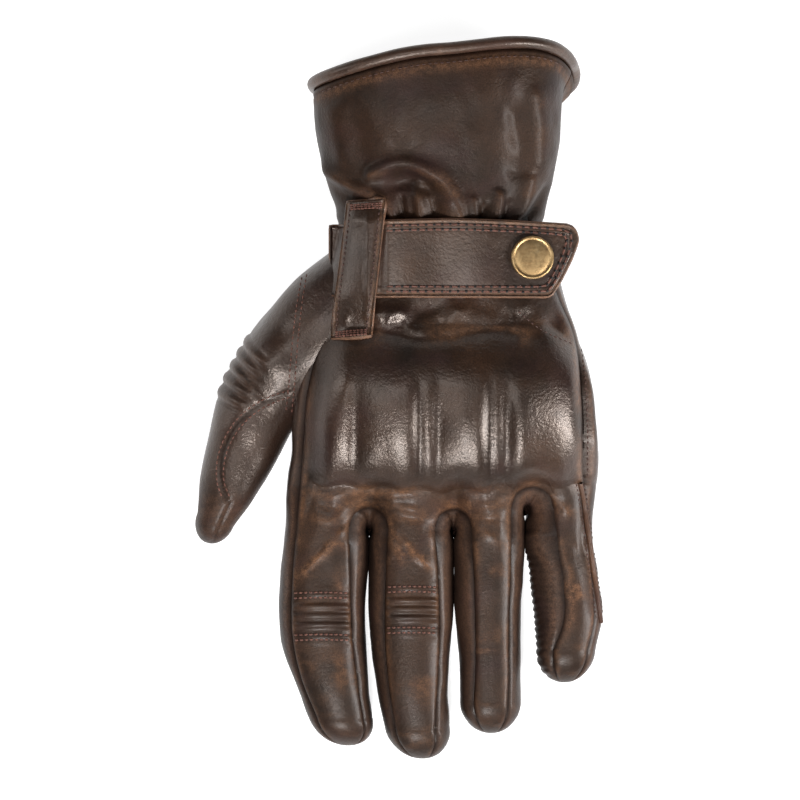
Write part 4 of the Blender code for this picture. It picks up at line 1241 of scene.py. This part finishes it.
# Sections of the thumb: distance along it, centre x, y and z, half width, half height
THUMB = np.array(
    [
        (-14.0, -12.0, 44.0, 27.0, 14.0, 16.0),
        (0.0, -20.5, 33.0, 25.0, 17.8, 17.5),
        (22.0, -36.4, 17.0, 20.8, 16.6, 17.0),
        (46.0, -49.6, -2.0, 17.0, 14.8, 15.2),
        (59.0, -54.6, -14.5, 16.0, 13.0, 14.0),
        (77.0, -61.4, -32.2, 14.6, 9.6, 12.0),
        (87.0, -65.2, -42.0, 13.4, 6.8, 10.0),
    ]
)
THUMB_TIP = 95.8
THUMB_HALF = 48  # columns of its back


# Seams of the thumb, above its ribs, round its patch and at its tip: depth, then points in (x, s)
THUMB_SEAMS = [
    (0.5, ((-56, -11), (-52, -6), (-48, 0))),
    (0.55, ((-38.7, -2.6), (-47.4, 0.5), (-56.2, 6.8), (-62.5, 17.3), (-63.5, 27.8), (-60.7, 34.8))),
    (0.4, ((-59.3, 35.9), (-65.6, 49.9))),
]


def make_thumb(skin):
    """The thumb: a slanting tube with ribs on its outer side and a stitched patch."""
    first, last = THUMB[0, 0], THUMB[-1, 0]
    s_rows = np.concatenate([np.arange(first, last, 0.75), np.linspace(last, THUMB_TIP, 18)])
    angle = np.linspace(0, 360, 2 * THUMB_HALF + 1)[:-1]
    shrink, ahead = tip_closing(s_rows, last, THUMB_TIP)
    r = rows(THUMB, s_rows)
    forward = rows(THUMB, s_rows + 0.5)[:, 1:4] - rows(THUMB, s_rows - 0.5)[:, 1:4]
    forward[s_rows > last - 1] = forward[np.searchsorted(s_rows, last - 1.5)]
    forward /= np.linalg.norm(forward, axis=1)[:, None]
    side = np.stack([-forward[:, 1], forward[:, 0], 0 * forward[:, 0]], 1)
    side /= np.linalg.norm(side, axis=1)[:, None]
    rise = np.cross(side, forward)
    rise *= np.sign(rise[:, 2])[:, None]
    centre = r[:, 1:4] + forward * ((THUMB_TIP - last) * ahead)[:, None]
    across, up = round_section(angle, THUMB_POWER)
    grid = (
        centre[:, None]
        + side[:, None] * ((r[:, 4] * shrink)[:, None] * across)[..., None]
        + rise[:, None] * ((r[:, 5] * shrink)[:, None] * up)[..., None]
    )
    outward = side[:, None] * across[None, :, None] + rise[:, None] * up[None, :, None]
    outward /= np.linalg.norm(outward, axis=2)[..., None]
    x, s = grid[..., 0], -grid[..., 1]
    top = ease(grid[..., 2], 14, 20)
    line = s_rows[:, None] + 0 * x
    outward_share = -across if side[0, 0] > 0 else across
    outer = ease(outward_share[None] + 0 * x, 0.1, 0.5)
    ribs = ease(line, 26, 28.5) * ease(-line, -50, -47.5)
    wave = np.abs(np.sin((line - 27) / 22 * math.pi * 5)) ** 0.5
    lift = 1.5 * ribs * outer * top * (wave - 0.5)
    # painted shade: the valleys between the ribs and the seams sink and are painted dark
    groove_shade = 0.4 * ribs * outer * top * (1 - wave)
    lift += 1.8 * np.exp(-(((x + 46) / 7.5) ** 2) - ((s + 14) / 7.5) ** 2) * top
    for depth, curve in THUMB_SEAMS:
        groove_shade = np.maximum(groove_shade, seam_groove_shade(near_edges(x, s, [smooth_line(curve)]), depth) * top)
    lift += 0.45 * noise(grid, 9.0, 81)
    grid = grid + outward * lift[..., None]
    distance = np.abs(half_turn(angle))[None] / PER_RADIAN * 12
    groove_shade = np.maximum(groove_shade, 0.5 * bell(distance, 0, 0.8))
    wear = np.clip(0.2 * ribs * outer * top + 0.4 * bell(groove_shade, 0.3, 0.15) + 0.35 * bell(line, 84, 8), 0, 1)
    cut = int(np.searchsorted(s_rows, 38.0))
    skin.grid(
        grid,
        lambda i, j: ("thumb_base" if i < cut else "thumb_end") + ("_back" if j < THUMB_HALF else "_palm"),
        groove_shade,
        wear,
        ring=True,
        flip=bool(side[0, 0] < 0),
    )


# ---------------------------------------------------------------- the skin's pieces

# How far the hide bends ahead of a joint's axis and behind it, in metres, and which way is ahead
ZONES = {
    "knuckle_fold": (0.0155, 0.0165, (0, -1, 0)),
    "wrist_fold": (0.015, 0.015, (0, 1, 0)),
    "little_bend": (0.011, 0.0108, (0, -1, 0)),
    "thumb_bend": (0.012, 0.011, (-0.32, -0.947, -0.06)),
}
FINGER_ZONE = (0.014, 0.014, (0, -1, 0))


def bend_zone(body_a, body_b, obj):
    """Finds the joint between two bodies and how far the hide's bend reaches on each side of it, then only
    bakes obj's transform: obj is not bent.
    """
    joint = next(j for j in frame["joints"] if {j["parent"], j["child"]} == {body_a, body_b})
    ahead, behind, way = ZONES.get(joint["name"], FINGER_ZONE)
    way, pivot = Vector(way).normalized(), Vector(joint["pos_m"])
    near, far = pivot - way * behind, pivot + way * ahead
    if body_a == joint["child"]:
        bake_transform(obj)
        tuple(far)
        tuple(near)
    else:
        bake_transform(obj)
        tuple(near)
        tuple(far)


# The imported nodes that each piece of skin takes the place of
REPLACED = {
    "back": ("back_panel", "finger_backs", "wrist_elastic"),
    "palm": ("palm_panel", "finger_palms"),
    "index_side": ("index_side_panel", "wrist_side_panel", "index_outer_wall"),
    "little_side": ("little_side_panel", "little_outer_wall"),
    "fourchette_index": ("fourchette_index_middle",),
    "fourchette_middle": ("fourchette_middle_ring",),
    "fourchette_ring": ("fourchette_ring_little",),
    "cuff_back": ("cuff_back",),
    "cuff_palm": ("cuff_palm",),
    "thumb_base_back": ("thumb_base_back",),
    "thumb_base_palm": ("thumb_base_palm",),
    "thumb_end_back": ("thumb_tip_back",),
    "thumb_end_palm": ("thumb_tip_palm",),
}


def place(made):
    """Makes an object of each piece of skin and hides the imported nodes that it takes the place of."""
    skins = []
    for label, data in made.items():
        finger = label.split("_")[0]
        look = HIDE
        if "wall" in label or "fourchette" in label or "side" in label or label.startswith("thumb"):
            look = SIDE_HIDE
        if label.startswith("cuff"):
            look = CUFF_HIDE
        obj = put("skin_" + label, data, look)
        if label in ("back", "palm", "index_side", "little_side") or label.startswith("fourchette"):
            bend_zone("hand", "finger_row", obj)
        elif label.startswith("cuff"):
            bend_zone("cuff", "hand", obj)
        elif label.startswith("thumb"):
            bend_zone("hand", "thumb", obj)
        else:
            bend_zone("finger_row", finger + "_finger", obj)
        if label in REPLACED:
            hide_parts(*REPLACED[label])
        elif finger in NAMES:
            parts = {
                "back": [finger + "_tip_back"] + ([finger + "_accordion"] if finger in RIBS else []),
                "palm": [finger + "_tip_palm", finger + "_inner_fold"],
                "near_wall": [finger + "_wall_thumb_side"],
                "far_wall": [finger + "_wall_little_side"],
            }[label[len(finger) + 1 :]]
            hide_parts(*parts)
        skins.append(obj)
    return skins


# ---------------------------------------------------------------- strips, stitches and cords

DOWN = Vector((0, 0, -1))
THREAD_SIDES = 7


def slab(name, points, thickness, groove_shade=None, wear=None, look=None):
    """A closed strip of leather: a top grid, rounded edges and an underside that follows the normals."""
    n, m = points.shape[:2]
    normals = grid_normals(points)
    round_edge = 0.7
    border = [(i, 0) for i in range(n - 1)] + [(n - 1, j) for j in range(m - 1)]
    border += [(i, m - 1) for i in range(n - 1, 0, -1)] + [(0, j) for j in range(m - 1, 0, -1)]
    top, normals = points.reshape(-1, 3), normals.reshape(-1, 3)
    border = [i * m + j for i, j in border]
    centre, up = top[border], normals[border]
    ahead = np.roll(centre, -1, 0) - np.roll(centre, 1, 0)
    out = np.cross(ahead, up)
    out /= np.maximum(np.linalg.norm(out, axis=1), 1e-9)[:, None]
    if np.sum(out * (centre - top.mean(0))) < 0:
        out = -out
    # How far out and how far down each layer of the edge lies
    turns = [t * math.pi / 2 for t in (0.33, 0.66, 1.0)]
    layers = [(math.sin(turn), round_edge * (1 - math.cos(turn))) for turn in turns]
    layers += [(1, thickness - 0.3 * round_edge), (0.6, thickness)]
    layers = [centre + out * round_edge * outwards - up * down for outwards, down in layers]
    size = n * m
    faces, where = [], []
    for i in range(n - 1):
        for j in range(m - 1):
            a, b, c, d = i * m + j, i * m + j + 1, (i + 1) * m + j + 1, (i + 1) * m + j
            faces += [(a, d, c, b), (size + a, size + b, size + c, size + d)]
            where += [0, 1]
    around = len(border)
    rings = [border]
    rings += [range(2 * size + k * around, 2 * size + (k + 1) * around) for k in range(len(layers))]
    rings.append([size + k for k in border])
    for layer, (upper, lower) in enumerate(zip(rings[:-1], rings[1:], strict=True)):
        for k in range(around):
            q = (k + 1) % around
            faces.append((upper[k], upper[q], lower[q], lower[k]))
            where.append(0 if layer < 1 else 1)
    everything = np.concatenate([top, top - normals * thickness, *layers])
    zero = np.zeros(len(everything) - size)
    attributes = {
        "groove_shade": np.concatenate([np.zeros(size) if groove_shade is None else groove_shade.ravel(), zero]),
        "wear": np.concatenate([np.zeros(size) if wear is None else wear.ravel(), zero + 0.8]),
    }
    obj = new_mesh(name, everything, faces, HIDE if look is None else look, None, attributes)
    obj.data.materials.append(EDGE_HIDE)
    if len(obj.data.polygons) == len(where):
        obj.data.polygons.foreach_set("material_index", where)
    return obj


def grid_normals(points):
    """The normals of a grid of points, all facing up."""
    n = np.cross(np.gradient(points, axis=0), np.gradient(points, axis=1))
    n /= np.maximum(np.linalg.norm(n, axis=2), 1e-9)[..., None]
    return n * np.where(n[..., 2:] < 0, -1, 1)


def edge_rub(t, width):
    """How rubbed a strip is near its long edges, at shares t of its width."""
    return bell(np.minimum(t, 1 - t) * width, 0.4, 1.4)


def inset_line(outline, inset):
    """A smooth line that runs inset from an outline in (x, s), towards its inside."""
    line = smooth_line(outline, 240)
    ahead = np.gradient(line, axis=0)
    ahead /= np.linalg.norm(ahead, axis=1)[:, None]
    side = np.stack([-ahead[:, 1], ahead[:, 0]], 1)
    middle = np.array([25, -49])
    ways = (line + side * inset, line - side * inset)
    moved = min(ways, key=lambda way: np.linalg.norm(way.mean(0) - middle))
    keep = [0]
    for k in range(1, len(moved)):
        if np.dot(moved[k] - moved[keep[-1]], ahead[k]) > 0.05:
            keep.append(k)
    return moved[keep]


def surface_under(objects):
    """A search tree over the shown surfaces, in millimetres."""
    points, faces = [], []
    for obj in objects:
        base = len(points)
        points += [tuple(v.co * 1000) for v in obj.data.vertices]
        faces += [tuple(base + k for k in p.vertices) for p in obj.data.polygons]
    return BVHTree.FromPolygons(points, faces)


def drop_on(tree, x, s):
    """Where a line straight down at (x, s) meets a surface, and the normal there, or None."""
    return tree.ray_cast(Vector((x, -s, 200)), DOWN)[:2]


def stitches(name, line, pitch, length, radius, tree, hold, look=None, sink=0.1, phase=0.5):
    """A row of thread stitches along a line in (x, s), laid on the surfaces in tree.

    hold is a function that is called with the row, or the names of two bodies that are passed to bend_zone with
    it.
    """
    line = np.asarray(line, float)
    at = np.concatenate([[0], np.cumsum(np.linalg.norm(np.diff(line, axis=0), axis=1))])
    points, faces = [], []
    rings = ((-0.5, 0.35), (-0.36, 0.9), (0.0, 1.0), (0.36, 0.9), (0.5, 0.35))
    for start in np.arange(pitch * phase, at[-1] - pitch * 0.3, pitch):
        ends = []
        for offset in (-length / 2, length / 2):
            x, s = (np.interp(start + offset, at, line[:, k]) for k in range(2))
            point, normal = drop_on(tree, x, s)
            if point is None:
                break
            ends.append((np.array(point), np.array(normal)))
        if len(ends) < 2 or np.linalg.norm(ends[0][0] - ends[1][0]) > 2.5 * length:
            continue
        (a, na), (b, nb) = ends
        up = na + nb
        up /= np.linalg.norm(up)
        ahead = b - a
        size = np.linalg.norm(ahead)
        ahead /= size
        across = np.cross(ahead, up)
        across /= np.linalg.norm(across)
        up = np.cross(across, ahead)
        middle = (a + b) / 2 + up * (radius - sink - 0.12)
        base = len(points)
        for along, share in rings:
            arch = up * (-0.9 * radius * (2 * along) ** 2)
            for turn in np.linspace(0, math.tau, THREAD_SIDES, endpoint=False):
                round_it = (across * math.cos(turn) + up * math.sin(turn)) * radius * share
                points.append(middle + ahead * size * along + arch + round_it)
        faces += [tuple(base + k for k in face) for face in ring_faces(len(rings), THREAD_SIDES)]
    made = new_mesh(name, np.array(points), faces, look or THREAD)
    if callable(hold):
        hold(made)
    else:
        bend_zone(*hold, made)


def lay_welt(name, path, tree, zone):
    """A raised cord of hide laid along a seam of the shown surface."""
    centres = []
    for x, s in path:
        point, normal = drop_on(tree, x, s)
        if point is not None:
            centres.append(np.array(point) + np.array(normal) * 0.15)
    centres = np.array(centres)
    for _ in range(2):
        centres[1:-1] = (centres[:-2] + 2 * centres[1:-1] + centres[2:]) / 4
    radius = np.full(len(centres), 0.95)
    welt = tube_mesh(name, centres, radius, EDGE_HIDE, 0.5, closed=False, upright=(0, 0, 1))
    bend_zone(*zone, welt)


# ---------------------------------------------------------------- strap, loop, patch and cap

# The strap's edges in (x, s)
STRAP_TOP = np.array(
    [
        (-24, -61.3), (-5.8, -61.8), (18, -62.4), (40, -61.6), (57.8, -60.6), (59.6, -60.0), (60.9, -58.6),
        (61.5, -56.9), (61.7, -55.6),
    ]
)  # fmt: skip
STRAP_LOW = np.array(
    [
        (-24, -36.0), (-9, -36.1), (30, -36.0), (50.2, -35.9), (51.6, -36.1), (52.8, -36.9), (55.8, -41.6),
        (59.3, -48.6), (61.0, -53.0), (61.7, -55.5),
    ]
)  # fmt: skip
STRAP_END = 61.6
STRAP_ARC = 400  # twice the radius that the strap is curved to across the wrist
CAP_AT = (45.5, 49.3)


def strap_z(x):
    """The height of the strap's middle layer."""
    return 51.3 - (x - 14.0) ** 2 / STRAP_ARC


def strap_fold(obj):
    """Only bakes obj's transform; it does not fold obj where the strap leaves the loop."""
    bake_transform(obj)


def make_strap():
    """The strap from under the loop to its slanting end, with its two rows of stitches."""
    under, fold, body = np.arange(-12.4, -5.5, 0.8), np.arange(-5.4, -0.1, 0.3), np.arange(0.0, 49.9, 0.8)
    x = np.concatenate([under, fold, body, np.linspace(50.0, STRAP_END, 26)])
    low = np.interp(x, STRAP_TOP[:, 0], STRAP_TOP[:, 1])[:, None]
    high = np.interp(x, STRAP_LOW[:, 0], STRAP_LOW[:, 1])[:, None]
    t = np.linspace(0, 1, 34)
    s = low * (1 - t) + high * t
    xx = np.repeat(x[:, None], len(t), 1)
    z = strap_z(xx) + 1.05 + 0.55 * np.sin(xx / 5.6 + 2.2) * ease(-xx, -44, -30)
    z = z + 0.2 * noise(flat(xx, s), 12, 91)
    z = z - 1.0 * ease(-xx, 3.5, 7.0)
    inner = np.minimum(np.minimum(s - low, -(s - high)), (STRAP_END - xx) * 0.9)
    # painted shade: the lines of stitches sink and are painted dark
    groove_shade = 0.30 * bell(inner, 1.6, 0.45) + 0.30 * bell(inner, 3.3, 0.45)
    z = z + 0.25 * bell(inner, 2.45, 0.6) - 0.5 * groove_shade
    points = np.stack([xx, -s, z], 2)
    strap = slab("strap_leather", points, 2.1, groove_shade, edge_rub(t[None] + 0 * s, 25.0) * 0.8, STRAP_HIDE_LIT)
    strap_fold(strap)
    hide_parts("strap")
    outline = [
        (-5.0, -61.8), (18, -62.4), (40, -61.6), (57.6, -60.6), (60.2, -59.2), (61.4, -56.2), (59.3, -48.6),
        (55.8, -41.6), (53.0, -37.2), (51.0, -36.0), (30, -36.0), (-5.0, -36.1),
    ]  # fmt: skip
    tree = surface_under([strap])
    for k, inset in enumerate((1.5, 3.2)):
        line = inset_line(outline, inset)
        stitches(f"strap_stitches_{k}", line, 2.8, 2.1, 0.46, tree, strap_fold)
        # painted shade in the stitch holes
        stitches(f"strap_holes_{k}", line, 2.8, 0.85, 0.42, tree, strap_fold, look=HOLE_SHADE, sink=0.62, phase=1.0)


KEEPER_LEFT = np.array([(-18.6, -68.6), (-19.6, -60), (-22.6, -36), (-24.0, -21.6)])
KEEPER_RIGHT = np.array([(-5.2, -69.4), (-6.2, -60), (-8.8, -36), (-10.2, -22.6)])


def ride_hand(obj):
    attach(obj, "hand")


def make_keeper(tree):
    """The loop over the strap, sewn down at both ends."""
    t = np.linspace(0, 1, 60)
    u = np.linspace(0, 1, 18)
    points = np.zeros((len(t), len(u), 3))
    corners = np.linspace(0, 1, len(KEEPER_LEFT))
    for i, a in enumerate(t):
        left = np.array([np.interp(a, corners, KEEPER_LEFT[:, k]) for k in range(2)])
        right = np.array([np.interp(a, corners, KEEPER_RIGHT[:, k]) for k in range(2)])
        for j, b in enumerate(u):
            x, s = left * (1 - b) + right * b
            hit = drop_on(tree, x, s)[0]
            under = hit[2] if hit else 45.0
            whole = float(section_height(BODY, x, s, BODY_POWER, 1, 0.95)[0])
            # the loop lies on the hand at its ends and passes over the strap between them
            over = float(ease(s, -69.5, -61.5) * ease(-s, 21.0, 38.0))
            low = max(under, whole) + 1.7
            strap = max(whole + 5.4, strap_z(x) + 2.9) if x > -12 else whole + 5.6
            points[i, j] = (x, -s, low * (1 - over) + max(low, strap) * over)
    for _ in range(3):
        points[1:-1, :, 2] = (points[:-2, :, 2] + 2 * points[1:-1, :, 2] + points[2:, :, 2]) / 4
    points[..., 2] -= 0.5 * np.abs(2 * u - 1)[None] ** 4
    width = 13.6
    inner = np.minimum(u, 1 - u)[None] * width + 0 * points[..., 0]
    # painted shade: the line of stitches sinks and is painted dark
    groove_shade = 0.28 * bell(inner, 1.5, 0.4)
    points[..., 2] -= 0.6 * groove_shade
    keeper = slab("keeper_loop", points, 1.6, groove_shade, edge_rub(u[None] + 0 * inner, width) * 0.5)
    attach(keeper, "hand")
    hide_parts("strap_keeper")
    top = surface_under([keeper])
    for k, inset in enumerate((0.115, 0.885)):
        line = smooth_line(KEEPER_LEFT * (1 - inset) + KEEPER_RIGHT * inset, 80)
        stitches(f"keeper_stitches_{k}", line, 1.9, 1.35, 0.30, top, ride_hand, look=DARK_THREAD)
        # painted shade in the stitch holes
        stitches(f"keeper_holes_{k}", line, 1.9, 0.5, 0.30, top, ride_hand, look=HOLE_SHADE, sink=0.4, phase=1.0)
    for k, (a, b) in enumerate((((-17.4, -67.6), (-6.0, -68.2)), ((-22.6, -23.6), (-11.2, -24.4)))):
        for row in range(3):
            line = np.array([a, b]) + [0, row * 0.75]
            stitches(f"keeper_tack_{k}_{row}", line, 1.25, 1.25, 0.36, top, ride_hand)


def make_tab():
    """The tab beside the loop that the strap is sewn to."""
    x, s = np.meshgrid(np.arange(-24.2, -9.0, 0.9), np.linspace(-60.4, -36.6, 24), indexing="ij")
    tab = np.stack([x, -s, section_height(BODY, x, s, BODY_POWER, 1, 0.97) + 2.6], 2)
    anchor = slab("strap_tab", tab, 1.6)
    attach(anchor, "hand")
    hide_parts("strap_anchor")


PATCH_AT, PATCH_HALF = (14, -15), (34.5, 29.5)


def make_palm_patch(tree):
    """The padded patch under the heel of the hand, its rounded edge sewn to the palm."""
    flat_share = 0.86  # the part of its radius that is flat
    share = np.concatenate([np.linspace(0, flat_share, 26), np.linspace(0.875, 1.0, 14)])
    turn = np.linspace(0, math.tau, 144, endpoint=False)
    corner = (np.abs(np.cos(turn)) ** 4 + np.abs(np.sin(turn)) ** 4) ** -0.25
    x = PATCH_AT[0] + PATCH_HALF[0] * np.cos(turn)[None] * corner[None] * share[:, None]
    s = PATCH_AT[1] + PATCH_HALF[1] * np.sin(turn)[None] * corner[None] * share[:, None]
    edge = np.zeros(len(turn))
    for j in range(len(turn)):
        hit = tree.ray_cast(Vector((x[-1, j], -s[-1, j], -50)), -DOWN)[0]
        edge[j] = hit[2] + 0.15 if hit else 3.0
    t = np.clip((share - flat_share) / 0.14, 0, 1)[:, None]
    z = 0.3 + (edge[None] - 0.3) * (1 - np.sqrt(1 - np.minimum(t, 0.999) ** 2))
    z = z + 0.12 * noise(flat(x, s), 9.0, 43) * (1 - t)
    inner = (1 - share)[:, None] * 30 + 0 * x
    # painted shade: the line of stitches sinks and is painted dark
    groove_shade = 0.45 * bell(inner, 5.2, 0.5)
    z = z + 0.35 * groove_shade
    points = np.stack([x, -s, z], 2)
    faces = ring_faces(*x.shape)
    attributes = {"groove_shade": groove_shade.ravel(), "wear": (0.5 * bell(inner, 1.5, 1.6)).ravel()}
    patch = new_mesh("palm_patch_hide", points.reshape(-1, 3), faces, HIDE, None, attributes)
    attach(patch, "hand")
    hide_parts("palm_patch")


def make_cap():
    """The press stud's cap: a low dome with a fine raised rim."""
    axis = Vector(((CAP_AT[0] - 14.0) / (STRAP_ARC / 2), 0, 1)).normalized()
    base = Vector((*CAP_AT, strap_z(CAP_AT[0]))) + axis * 1.25
    profile = [
        (0, 1.95), (1.5, 1.93), (3.0, 1.87), (4.5, 1.76), (5.7, 1.6), (6.1, 1.48), (6.35, 1.5), (6.6, 1.72),
        (6.95, 1.8), (7.3, 1.66), (7.5, 1.3), (7.5, 0.8), (7.2, 0.35), (6.6, 0.1), (0, 0.1),
    ]  # fmt: skip
    sides = 96
    turn = Vector((0, 0, 1)).rotation_difference(axis).to_matrix()
    points = []
    for r, h in profile:
        for a in np.linspace(0, math.tau, sides, endpoint=False):
            points.append(tuple(base + turn @ Vector((r * math.cos(a), r * math.sin(a), h))))
    faces = [(a, d, c, b) for a, b, c, d in ring_faces(len(profile), sides)]
    cap = new_mesh("snap_cap_brass", np.array(points), faces, BRASS)
    cap.data.validate()
    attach(cap, "strap")
    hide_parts("snap_cap")


RIB_STITCHES = (1.6, 3.4)  # the rows of stitches beyond each end of the ribs
# Rows of stitches on the shown surface: points in (x, s), the two bodies passed to bend_zone with the row, and
# its thread
SEAM_ROWS = [
    (((40.8, -31), (48.8, -24), (60, -19.6)), ("hand", "finger_row"), DARK_THREAD),
    (((62.8, -24), (65.2, 0), (65.6, 27)), ("hand", "finger_row"), DARK_THREAD),
    (((-31.6, -50), (-34.0, -35), (-35.6, -21), (-36.6, -7), (-38.0, 6)), ("hand", "thumb"), THREAD),
    (((-33.6, -47), (-36.0, -33), (-37.6, -20), (-38.6, -6), (-40.0, 5)), ("hand", "thumb"), THREAD),
    (
        ((-38.0, -3.6), (-47.6, -0.7), (-57.2, 6.0), (-63.6, 17.0), (-64.8, 27.8), (-62.0, 35.0)),
        ("hand", "thumb"),
        THREAD,
    ),
    (
        ((-38.0, -1.2), (-47.0, 1.8), (-55.4, 8.2), (-61.2, 18.0), (-62.2, 28.0), (-59.8, 33.8)),
        ("hand", "thumb"),
        THREAD,
    ),
]
# The raised strip along the little finger, in two lengths
WELTS = [
    (((62.9, 29.0), (64.2, 36), (65.4, 43.5), (66.4, 50.0)), ("hand", "finger_row")),
    (((66.4, 50.0), (67.4, 57), (68.8, 66), (69.9, 74), (70.5, 78)), ("finger_row", "little_finger")),
]


def make_fittings(tops):
    """Everything sewn or riveted to the shown skin, given as tops."""
    make_strap()
    tree = surface_under(tops)
    make_keeper(tree)
    make_tab()
    make_cap()
    make_palm_patch(tree)
    make_rib_stitches(tree)
    make_seams(tree)


def make_rib_stitches(tree):
    """Two rows of stitches at each end of the ribs."""
    for name, (centre, half) in RIBS.items():
        near, far = (half + gap for gap in RIB_STITCHES)
        zone = ("finger_row", name + "_finger")
        for k, offset in enumerate((-far, -near, near, far)):
            s = centre + offset
            x = np.linspace(float(seam_x(name, s, -1)[0]) + 0.9, float(seam_x(name, s, 1)[0]) - 0.9, 30)
            line = np.stack([x, s + RIB_BOW * (x - rows(FINGERS[name], s)[0, 1]) ** 2], 1)
            row = f"{name}_rib_stitches_{k}"
            stitches(row, line, 1.75, 1.3, 0.34, tree, zone)
            # painted shade in the stitch holes
            row = row.replace("stitches", "holes")
            stitches(row, line, 1.75, 0.5, 0.34, tree, zone, look=HOLE_SHADE, sink=0.42, phase=1.0)


def make_seams(tree):
    """The stitches at the cuff's end and along the seams, and the raised strip along the little finger."""
    rim_angle = np.linspace(8, 172, 120)
    rim = body_point(cuff_rim(rim_angle) + 2.9, rim_angle) * [1, -1, 1]
    stitches("cuff_stitches_0", rim[:, :2], 2.1, 1.4, 0.24, tree, ("cuff", "hand"), look=DARK_THREAD)
    for k, (line, zone, look) in enumerate(SEAM_ROWS):
        stitches(f"seam_stitches_{k}", smooth_line(line, 80), 1.9, 1.35, 0.26, tree, zone, look=look)
    for k, (line, zone) in enumerate(WELTS):
        path = smooth_line(line, 60)
        lay_welt(f"little_welt_{k}", path, tree, zone)
        for side in (-1, 1):
            row = path + [1.35 * side, 0]
            stitches(f"little_welt_stitches_{k}_{side}", row, 1.7, 1.2, 0.26, tree, zone, look=DARK_THREAD)


def paint_hidden_nodes():
    """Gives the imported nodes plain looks."""
    for node, obj in frame["nodes"].items():
        if node.startswith("snap_") and node != "snap_cap":
            look = plain(node, (0.4, 0.36, 0.3), 0.35, 1.0)
        elif "foam" in node or node == "palm_pad":
            look = plain(node, (0.09, 0.085, 0.08), 0.95)
        elif node == "knuckle_armour":
            look = plain(node, (0.03, 0.03, 0.032), 0.5)
        else:
            look = plain(node, (0.045, 0.021, 0.012), 0.5)
        obj.data.materials.clear()
        obj.data.materials.append(look)


# ---------------------------------------------------------------- light, floor and camera

FLOOR_REACH, FLOOR_LEVEL = 40, -0.0005
LENS, SENSOR = 260, 36
VIEW_HEIGHT, VIEW_WIDTH = 0.028, 0.28  # at this height above the floor, the picture is this wide
LAMPS = [  # name, place, size and watts
    ("main", (-0.06, -0.70, 0.70), (0.15, 0.32), 10.0),
    ("fill", (-0.34, -0.16, 0.95), (0.16, 0.16), 1.2),
    ("top", (-0.11, -0.02, 1.00), (0.07, 0.12), 1.0),
    ("left", (-0.80, 0.15, 0.42), (0.12, 0.6), 2.0),
    ("right", (0.74, -0.34, 0.46), (0.06, 0.5), 11.0),
    ("back", (0.05, 0.9, 0.40), (0.6, 0.16), 0.8),
]


def make_floor():
    """A white floor that hardly darkens in the glove's shadow."""
    mesh = bpy.data.meshes.new("floor")
    signs = ((-1, -1), (1, -1), (1, 1), (-1, 1))
    corners = [(a * FLOOR_REACH, b * FLOOR_REACH, FLOOR_LEVEL) for a, b in signs]
    mesh.from_pydata(corners, [], [(0, 1, 2, 3)])
    look = bpy.data.materials.new("floor")
    look.use_nodes = True
    shader = look.node_tree.nodes["Principled BSDF"]
    shader.inputs["Base Color"].default_value = (0.5, 0.5, 0.5, 1)
    shader.inputs["Emission Color"].default_value = (1, 1, 1, 1)
    shader.inputs["Emission Strength"].default_value = 0.85
    shader.inputs["Roughness"].default_value = 0.9
    mesh.materials.append(look)
    return add_to_scene("floor", mesh)


def make_world():
    """A world that is white to the camera and faint to everything else."""
    world = bpy.data.worlds.new("studio")
    world.use_nodes = True
    nodes = world.node_tree.nodes
    nodes["Background"].inputs["Color"].default_value = (1, 1, 1, 1)
    seen_by = nodes.new("ShaderNodeLightPath")
    pale = nodes.new("ShaderNodeMath")
    pale.operation = "MULTIPLY_ADD"
    pale.inputs[1].default_value = 0.87
    pale.inputs[2].default_value = 0.03
    world.node_tree.links.new(seen_by.outputs["Is Camera Ray"], pale.inputs[0])
    world.node_tree.links.new(pale.outputs[0], nodes["Background"].inputs["Strength"])
    bpy.context.scene.world = world
    bpy.context.scene.view_settings.view_transform = "Standard"


def make_lamp(name, place_at, size, power):
    """A lamp that faces the middle of the glove."""
    light = bpy.data.lights.new(name, "AREA")
    light.shape = "RECTANGLE"
    light.size, light.size_y = size
    light.energy = power
    lamp = add_to_scene(name, light)
    lamp.location = place_at
    lamp.rotation_euler = (Vector((0, 0, 0.02)) - Vector(place_at)).to_track_quat("-Z", "Y").to_euler()
    return lamp


def make_camera():
    """A camera that looks straight down from far away."""
    camera = bpy.data.cameras.new("camera")
    camera.lens = LENS
    camera.sensor_width = SENSOR
    seen = add_to_scene("camera", camera)
    seen.location = (0, 0, VIEW_HEIGHT + VIEW_WIDTH * LENS / SENSOR)
    seen.rotation_euler = (0, 0, 0)
    bpy.context.scene.camera = seen


def make_stage():
    floor = make_floor()
    make_world()
    lamps = [make_lamp(*lamp) for lamp in LAMPS]
    make_camera()


def main():
    skin = Skin()
    make_hand(skin)
    for name in NAMES:
        make_finger(skin, name)
    make_cuff(skin)
    thumb = Skin()
    make_thumb(thumb)
    made = skin.build()
    made.update(thumb.build())
    skins = place(made)
    make_piping()
    make_lining()
    make_fittings(skins)
    paint_hidden_nodes()
    make_stage()


main()
